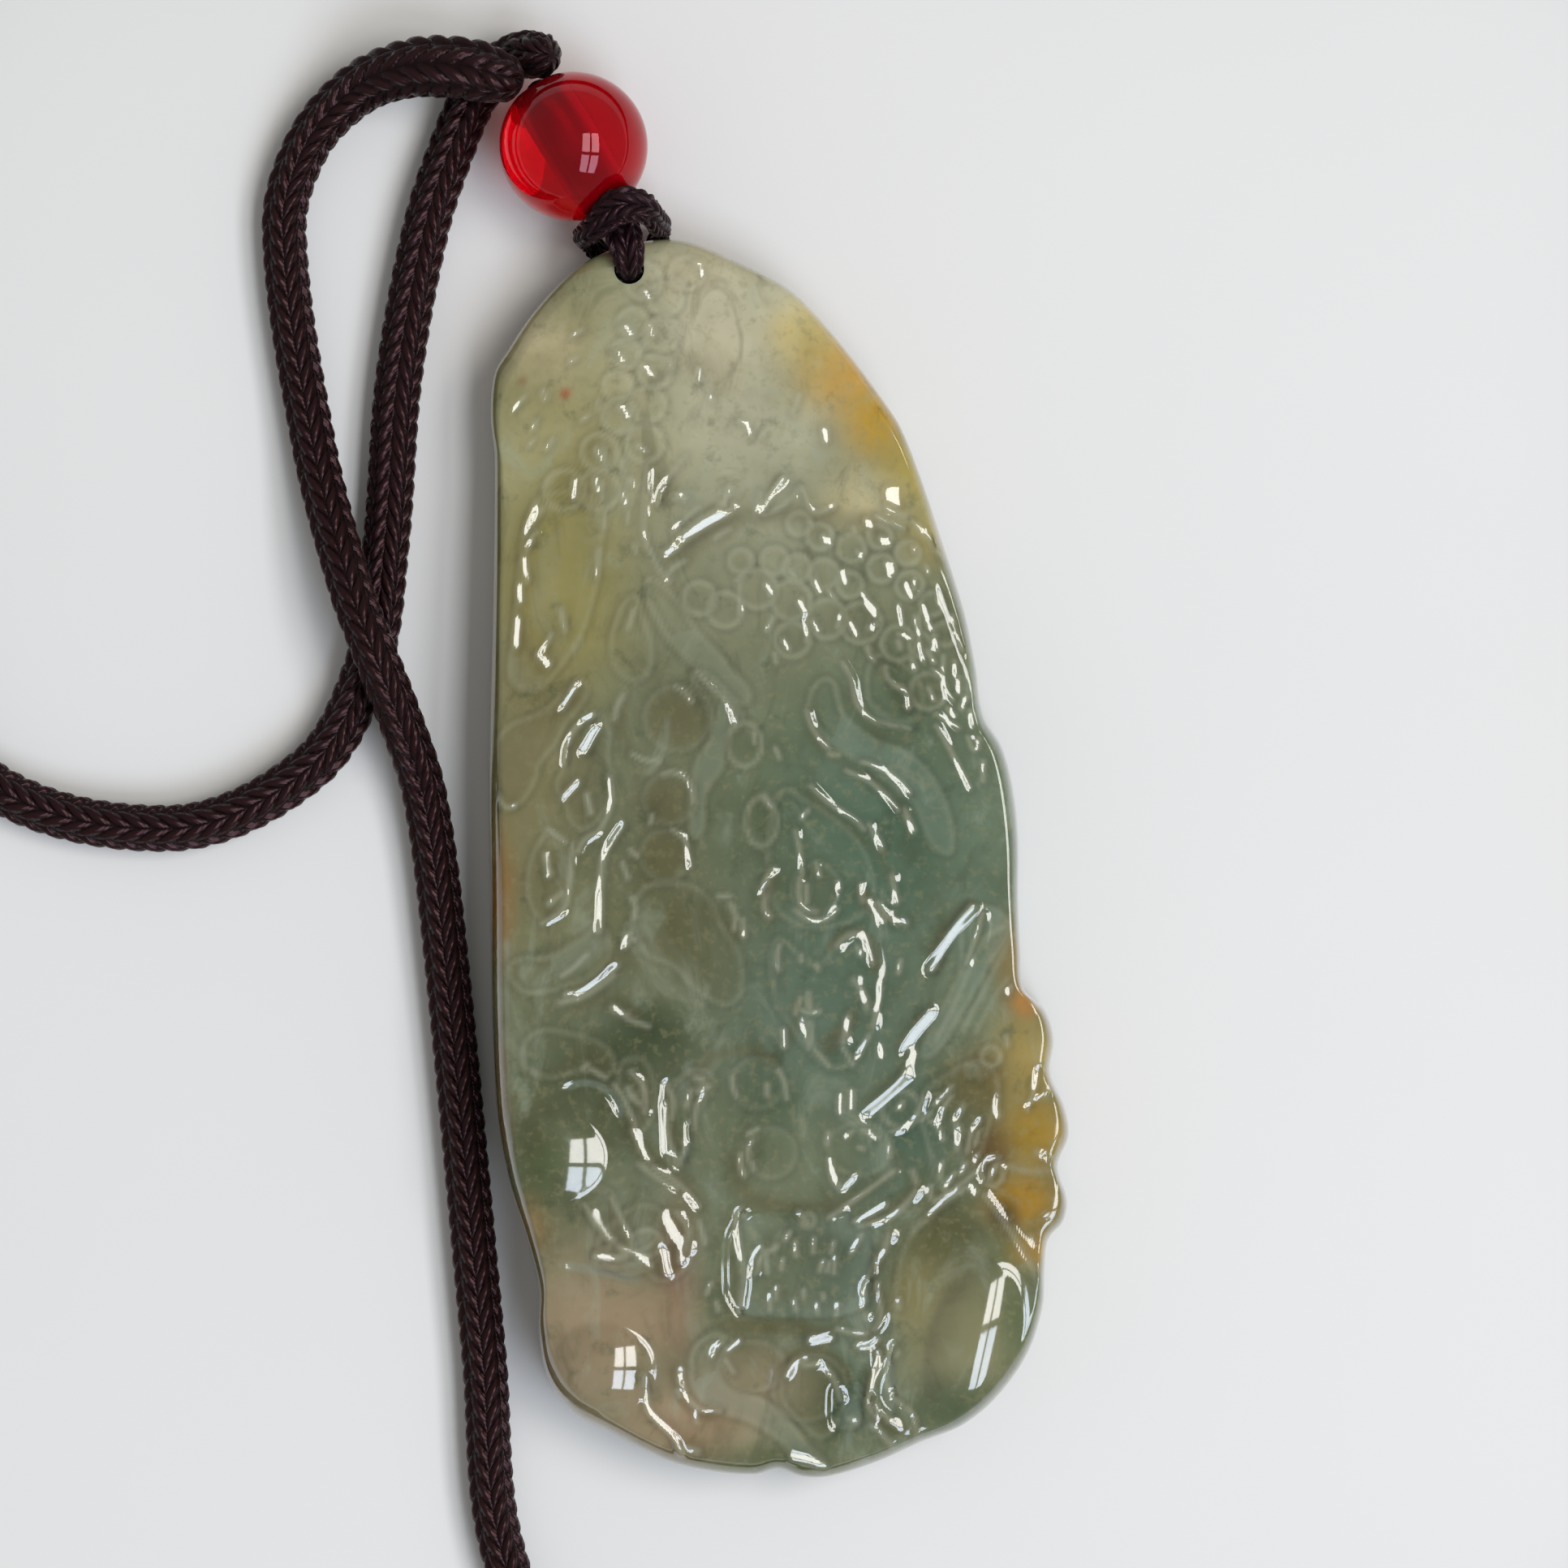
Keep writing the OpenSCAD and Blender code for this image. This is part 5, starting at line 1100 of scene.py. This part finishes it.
# How the colours run on the side wall: from this height down, inwards, along, how much that varies, and the
# length over which it does
WALL_TOP, WALL_INWARD, WALL_SLANT, WALL_WAVE, WALL_WAVE_LENGTH = 4.4, 0.07, 0.7, 0.5, 3.1


def as_seen(colour):
    """A colour from 0 to 255 as linear values, by the curve of sRGB."""
    share = np.asarray(colour, float) / 255
    return np.where(share <= 0.04045, share / 12.92, ((share + 0.055) / 1.055) ** 2.4)


def stone_tint(colour):
    """Linear colour of the stone itself for a colour seen in the light of this scene."""
    return np.maximum(as_seen(colour) - GLOSS_ADDS, LEAST_TINT) * STONE_SHARE


def paint_stone(piece):
    """Point colours: the ground colour, then each spot mixed in by its strength times exp(-0.7 q - 0.3
    q^2), with q its round distance squared. Below the front the spots run inwards and down, and so across
    the side wall."""
    mesh = piece.data
    place = np.empty(len(mesh.vertices) * 3, np.float32)
    mesh.vertices.foreach_get("co", place)
    x, y, z = place.reshape(-1, 3).T / MM
    below = np.maximum(WALL_TOP - z, 0)
    x = x * (1 - WALL_INWARD * below)
    y = y - below * (WALL_SLANT + WALL_WAVE * np.sin(y / WALL_WAVE_LENGTH))
    colour = np.tile(stone_tint(STONE_GROUND), (len(x), 1))
    for mx, my, w, h, strength, seen in STONE_SPOTS:
        q = ((x - mx) / w) ** 2 + ((y - my) / h) ** 2
        share = (strength * np.exp(-0.7 * q - 0.3 * q**2))[:, None]
        colour = colour * (1 - share) + stone_tint(seen) * share
    # Painted light: lighter towards the top, for the light through the thinner stone
    colour *= 1 + TOP_LIGHT_SHARE * np.clip((y - TOP_LIGHT_FROM) / TOP_LIGHT_OVER, 0, 1)[:, None]
    layer = mesh.attributes.new("stone_colour", "FLOAT_COLOR", "POINT")
    layer.data.foreach_set("color", np.column_stack([colour, np.ones(len(x))]).astype(np.float32).ravel())


paint_stone(stone)


# Numbers of the colour sockets of a mix node, which share their names with others
MIX_SHARE, MIX_FIRST, MIX_SECOND, MIXED = 0, 6, 7, 2


class Finish:
    """A material and short calls to add its nodes. Where a call takes a value, a socket will do as well."""

    def __init__(self, name):
        self.material = bpy.data.materials.new(name)
        self.material.use_nodes = True
        self.tree = self.material.node_tree
        self.shader = self.tree.nodes["Principled BSDF"]

    def feed(self, socket, value):
        """Links a socket to another one, or sets it to a number, vector or linear colour."""
        if hasattr(value, "is_linked"):
            self.tree.links.new(value, socket)
        else:
            socket.default_value = (*value, 1.0) if socket.type == "RGBA" else value

    def add(self, kind, sockets, **settings):
        """A node with settings and with values on its sockets."""
        node = self.tree.nodes.new(kind)
        for key, value in settings.items():
            setattr(node, key, value)
        for key, value in sockets.items():
            self.feed(node.inputs[key], value)
        return node

    def put(self, **sockets):
        """Values for the shader's sockets, named with _ for a space."""
        for key, value in sockets.items():
            self.feed(self.shader.inputs[key.replace("_", " ")], value)

    def place(self):
        """Place on the piece, in metres."""
        return self.add("ShaderNodeTexCoord", {}).outputs["Object"]

    def attribute(self, name, output="Fac"):
        """What the piece's own points carry under a name."""
        return self.add("ShaderNodeAttribute", {}, attribute_name=name).outputs[output]

    def math(self, operation, *values):
        """A math node of the values."""
        return self.add("ShaderNodeMath", dict(enumerate(values)), operation=operation).outputs["Value"]

    def vector(self, operation, *values, output="Vector"):
        """A vector math node of the values."""
        return self.add("ShaderNodeVectorMath", dict(enumerate(values)), operation=operation).outputs[output]

    def between(self, share, first, second):
        """A number that runs from the first to the second as the share runs from 0 to 1."""
        return self.math("MULTIPLY_ADD", share, second - first, first)

    def mix(self, share, first, second):
        """The first colour, with a share of the second."""
        sockets = {MIX_SHARE: share, MIX_FIRST: first, MIX_SECOND: second}
        return self.add("ShaderNodeMix", sockets, data_type="RGBA").outputs[MIXED]

    def noise(self, place, scale, detail=3.0, rough=0.5, bent=0.0):
        """Noise from 0 to 1 with that many lumps to the metre."""
        sockets = {"Vector": place, "Scale": scale, "Detail": detail, "Roughness": rough, "Distortion": bent}
        return self.add("ShaderNodeTexNoise", sockets).outputs["Fac"]

    def ramp(self, value, start, full):
        """0 at start, 1 at full, smooth between and level beyond; start may be above full."""
        sockets = {"Value": value, "From Min": start, "From Max": full}
        return self.add("ShaderNodeMapRange", sockets, interpolation_type="SMOOTHSTEP").outputs["Result"]

    def wave(self, value):
        """The sine of a value, brought between 0 and 1."""
        return self.math("MULTIPLY_ADD", self.math("SINE", value), 0.5, 0.5)

    def shifted(self, colour, value, saturation):
        """A colour made lighter or darker, and fuller or paler."""
        sockets = {"Color": colour, "Value": value, "Saturation": saturation}
        return self.add("ShaderNodeHueSaturation", sockets).outputs["Color"]

    def bump(self, height, distance, strength, **under):
        """Bump from a height from 0 to 1 and its real depth in metres, over another bump given as
        Normal."""
        sockets = {"Height": height, "Distance": distance, "Strength": strength, **under}
        return self.add("ShaderNodeBump", sockets).outputs["Normal"]


# Streaks in the stone run along it
STREAK_STRETCH = (1.0, 0.5, 1.0)
# Painted highlight lines on the cuts and outlines: their colour as seen, and how strong they are
HIGHLIGHT_LINE_SEEN = (205, 206, 178)
HIGHLIGHT_LINE_SHARE = 0.3


def jade_finish():
    """Translucent polished stone: point colours under clouds, milky and dark streaks, flecks and grain,
    darker on raised parts, with painted shade beside the carving's cuts and outlines and painted highlight
    lines on them."""
    finish = Finish("jade_stone")
    place = finish.place()
    seen = finish.attribute("stone_colour", "Color")
    tone = finish.attribute("tone")
    clouds = finish.noise(place, 210.0, detail=5.0, rough=0.55)
    milky = finish.shifted(seen, value=1.2, saturation=0.92)
    deep = finish.shifted(seen, value=0.78, saturation=1.1)
    colour = finish.mix(finish.ramp(clouds, 0.48, 0.75), seen, milky)
    colour = finish.mix(finish.ramp(clouds, 0.5, 0.28), colour, deep)
    along = finish.vector("MULTIPLY", place, STREAK_STRETCH)
    streaks = finish.noise(along, 330.0, detail=4.0, rough=0.6, bent=1.1)
    flecks = finish.noise(place, 620.0, detail=4.0, rough=0.62)
    grain = finish.noise(place, 1900.0, detail=2.0, rough=0.6)
    # What lays each layer on, where it begins and is full, its strength, and its colour as seen
    layers = (
        (streaks, 0.52, 0.72, 0.34, (172, 182, 160)),
        (streaks, 0.47, 0.3, 0.34, (72, 76, 46)),
        (flecks, 0.56, 0.75, 0.4, (58, 78, 56)),
        (grain, 0.5, 0.72, 0.3, (150, 146, 110)),
        (tone, 0.5, 0.8, 0.38, (98, 88, 56)),
        (tone, 0.5, 0.25, 0.3, (150, 164, 150)),
    )
    for source, start, full, strength, tint in layers:
        share = finish.math("MULTIPLY", finish.ramp(source, start, full), strength)
        colour = finish.mix(share, colour, stone_tint(tint))
    # Painted shade where the front carries shade values
    in_shade = finish.shifted(colour, value=0.5, saturation=1.1)
    shaded = finish.mix(finish.attribute("shade"), colour, in_shade)
    # Painted highlight lines on the cuts and outlines
    highlight_share = finish.math("MULTIPLY", finish.attribute("painted_highlight"), HIGHLIGHT_LINE_SHARE)
    lined = finish.mix(highlight_share, shaded, stone_tint(HIGHLIGHT_LINE_SEEN))
    finish.put(
        Base_Color=lined,
        Roughness=finish.between(finish.noise(place, 900.0), 0.05, 0.13),
        IOR=1.66,
        Coat_Weight=0.5,
        Coat_Roughness=0.04,
        Subsurface_Weight=0.3,
        Subsurface_Radius=(1.0, 1.0, 0.8),
        Subsurface_Scale=0.0011,
        Normal=finish.bump(finish.noise(place, 1300.0), distance=0.00001, strength=0.35),
    )
    return finish.material


# The bore wall is painted dark, for the dark cord seen through the glass: it looks dark from its wall to
# this far outside it
BORE_DARK_FROM, BORE_DARK_TO = 0.02, 0.1
# The glass, the cords in it, and the wall of its bore, painted dark for the cord seen through the glass
GLASS_RED, GLASS_CORDS, BORE_PAINTED_DARK = (0.98, 0.0008, 0.016), (0.76, 0.0007, 0.009), (0.035, 0.001, 0.002)


def glass_finish():
    """Clear red glass with faint cords of darker red in it, and a rough bore painted dark, for the dark cord
    seen through the glass.
    """
    finish = Finish("red_glass")
    place = finish.place()
    from_middle = finish.vector("SUBTRACT", place, np.array(BEAD_AT) * MM)
    off_axis = finish.vector("LENGTH", finish.vector("CROSS_PRODUCT", from_middle, BORE_WAY), output="Value")
    outside = finish.ramp(off_axis, (BEAD_BORE_R + BORE_DARK_FROM) * MM, (BEAD_BORE_R + BORE_DARK_TO) * MM)
    swirls = finish.ramp(finish.noise(place, 260.0, detail=2.0), 0.4, 0.7)
    finish.put(
        # Painted darkness on the bore wall, for the dark cord seen through the glass
        Base_Color=finish.mix(outside, BORE_PAINTED_DARK, finish.mix(swirls, GLASS_RED, GLASS_CORDS)),
        Transmission_Weight=finish.between(outside, 0.36, 0.84),
        Roughness=finish.between(outside, 0.3, 0.015),
        IOR=1.5,
        Specular_IOR_Level=0.3,
        Specular_Tint=(1.0, 0.5, 0.56),
        Normal=finish.bump(finish.noise(place, 420.0, detail=2.0), distance=0.00002, strength=0.25),
    )
    return finish.material


# Threads to a stitch, drawn along it; how sharply a stitch falls to its gaps; how strongly worn places
# show, and how much of the light colour they keep
THREADS = 5
STITCH_FALL = 0.6
WORN_STRENGTH, WORN_SHARE = 0.5, 0.7


def braid_finish(name, braid, dark, light):
    """Plaited thread: on the cord's own turn and run, the stitches of the mesh again, fine threads along
    each stitch, and painted shade in the gaps, which take the darker colour."""
    finish = Finish(name)
    weave = finish.add("ShaderNodeUVMap", {}, uv_map="weave").outputs["UV"]
    parts = finish.add("ShaderNodeSeparateXYZ", {"Vector": weave}).outputs
    column = finish.math("MULTIPLY", parts["X"], braid["columns"])
    across = finish.math("SUBTRACT", finish.math("FRACT", column), 0.5)
    odd = finish.math("GREATER_THAN", finish.math("MODULO", column, 2.0), 1.0)
    lean = finish.between(odd, 1.0, -1.0)
    slanted = finish.math("MULTIPLY", finish.math("MULTIPLY", lean, across), braid["slant"])
    step = finish.math("ADD", finish.math("DIVIDE", parts["Y"], braid["pitch"]), slanted)
    stitch = finish.math("ABSOLUTE", finish.math("COSINE", finish.math("MULTIPLY", step, math.pi)))
    threads = finish.wave(finish.math("MULTIPLY", step, THREADS * 2 * math.pi))
    over = finish.math("COSINE", finish.math("MULTIPLY", across, math.pi))
    fall = [finish.math("POWER", part, STITCH_FALL) for part in (stitch, over)]
    pillow = finish.math("MULTIPLY", *fall)
    place = finish.place()
    fibre = finish.noise(place, 6000.0, detail=2.0)
    worn = finish.math("MULTIPLY", finish.noise(place, 300.0), WORN_STRENGTH)
    # Painted shade: the dark colour in the gaps between stitches, the light one on their tops
    body = finish.mix(finish.ramp(pillow, 0.3, 0.8), dark, light)
    plait = finish.bump(pillow, distance=0.00016, strength=0.9)
    finish.put(
        Base_Color=finish.mix(worn, body, np.array(light) * WORN_SHARE),
        Roughness=finish.between(fibre, 0.2, 0.4),
        Specular_IOR_Level=0.26,
        Specular_Tint=(1.0, 0.58, 0.62),
        Sheen_Weight=0.04,
        Sheen_Roughness=0.4,
        Sheen_Tint=(0.9, 0.7, 0.75),
        Normal=finish.bump(threads, distance=0.000012, strength=0.5, Normal=plait),
    )
    return finish.material


# Turning lines to the metre of the clasp, times 2 pi, and the brass without and with its tarnish
TURNING_LINES = 32000.0
BRASS_CLEAN, BRASS_DULL = (0.72, 0.5, 0.2), (0.5, 0.32, 0.12)


def brass_finish():
    """Handled brass: turning lines round the barrel, a duller tarnish in patches."""
    finish = Finish("brass")
    place = finish.place()
    parts = finish.add("ShaderNodeSeparateXYZ", {"Vector": place}).outputs
    lines = finish.wave(finish.math("MULTIPLY", parts["Y"], TURNING_LINES))
    tarnish = finish.ramp(finish.noise(place, 240.0, detail=2.0), 0.35, 0.8)
    finish.put(
        Base_Color=finish.mix(tarnish, BRASS_CLEAN, BRASS_DULL),
        Metallic=1.0,
        Roughness=finish.between(tarnish, 0.26, 0.36),
        Normal=finish.bump(lines, distance=0.000008, strength=0.5),
    )
    return finish.material


# The table's mottle runs between these
TABLE_DARKER, TABLE_LIGHTER = (0.7, 0.695, 0.685), (0.73, 0.725, 0.715)


def table_finish():
    """Plain pale board with a very faint mottle."""
    finish = Finish("pale_table")
    finish.put(
        Base_Color=finish.mix(finish.noise(finish.place(), 30.0), TABLE_DARKER, TABLE_LIGHTER),
        Roughness=0.75,
        Specular_IOR_Level=0.3,
    )
    return finish.material


# Thread colours: painted shade in the gaps, and the thread itself on the stitches
CORD_GAP_SHADE, CORD_LIGHT = (0.0008, 0.0003, 0.0003), (0.014, 0.0045, 0.005)
HITCH_GAP_SHADE, HITCH_LIGHT = (0.0008, 0.0003, 0.0005), (0.013, 0.004, 0.007)

# Table
FLOOR_LEVEL = -0.03
FLOOR_HALF = 3000.0
floor_corners = np.array([(-1, -1), (1, -1), (1, 1), (-1, 1)]) * FLOOR_HALF
floor_points = np.column_stack([floor_corners, np.full(4, FLOOR_LEVEL)])
floor = new_object("table_top", floor_points, np.array([[0, 1, 2, 3]]))
floor.data.materials.append(table_finish())

# Light: four panes, two beside two, up to the right of the pendant and a little towards its foot
PANE_WAY = (0.46, -0.21, 0.86)
PANE_DISTANCE = 700.0
PANE_W, PANE_H = 150.0, 380.0
PANE_GAP_X, PANE_GAP_Y = 36.0, 60.0
PANE_POWER = 1.43
PANE_COLOURS = {1: (1.0, 0.98, 0.95), -1: (0.78, 0.86, 1.0)}
LIGHT_AT = (0.0, -2.0, 6.0)

away = unit(np.array(PANE_WAY))
pane_right = unit(np.cross((0.0, 1.0, 0.0), away))
pane_up = np.cross(away, pane_right)
for column in (-1, 1):
    for row in (-1, 1):
        pane = bpy.data.lights.new(f"pane_{column + 1}{row + 1}", "AREA")
        pane.shape = "RECTANGLE"
        pane.size = PANE_W * MM
        pane.size_y = PANE_H * MM
        pane.energy = PANE_POWER
        pane.color = PANE_COLOURS[row]
        lamp = bpy.data.objects.new(pane.name, pane)
        middle = (
            np.array(LIGHT_AT)
            + away * PANE_DISTANCE
            + pane_right * column * (PANE_W + PANE_GAP_X) / 2
            + pane_up * row * (PANE_H + PANE_GAP_Y) / 2
        )
        facing = np.eye(4)
        facing[:3, :3] = np.stack([pane_right, pane_up, away], axis=1)
        facing[:3, 3] = middle * MM
        lamp.matrix_world = [list(line) for line in facing.T]
        bpy.context.collection.objects.link(lamp)

# The room's own soft light
WORLD_COLOUR = (1.0, 0.99, 0.96)
WORLD_STRENGTH = 0.38
world = bpy.data.worlds.new("room")
world.use_nodes = True
room_light = world.node_tree.nodes["Background"].inputs
room_light["Color"].default_value = (*WORLD_COLOUR, 1.0)
room_light["Strength"].default_value = WORLD_STRENGTH
bpy.context.scene.world = world
bpy.context.scene.view_settings.view_transform = "Standard"

# Pieces: the node each stands for, its slot, and its finish
for piece, node, finish_slot, material in (
    (stone, "stone", "jade", jade_finish()),
    (bead, "bead", "red_glass", glass_finish()),
    (front, "hitch", "braid", braid_finish("pair_braid", FRONT_BRAID, HITCH_GAP_SHADE, HITCH_LIGHT)),
    (bight, "hitch", "braid", braid_finish("bight_braid", BIGHT_BRAID, HITCH_GAP_SHADE, HITCH_LIGHT)),
    (neck_cord, "neck_cord", "braid", braid_finish("neck_braid", NECK_BRAID, CORD_GAP_SHADE, CORD_LIGHT)),
    (clasp, "clasp", "brass", brass_finish()),
):
    piece.data.materials.append(material)
    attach(piece, "root")
    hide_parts(node)
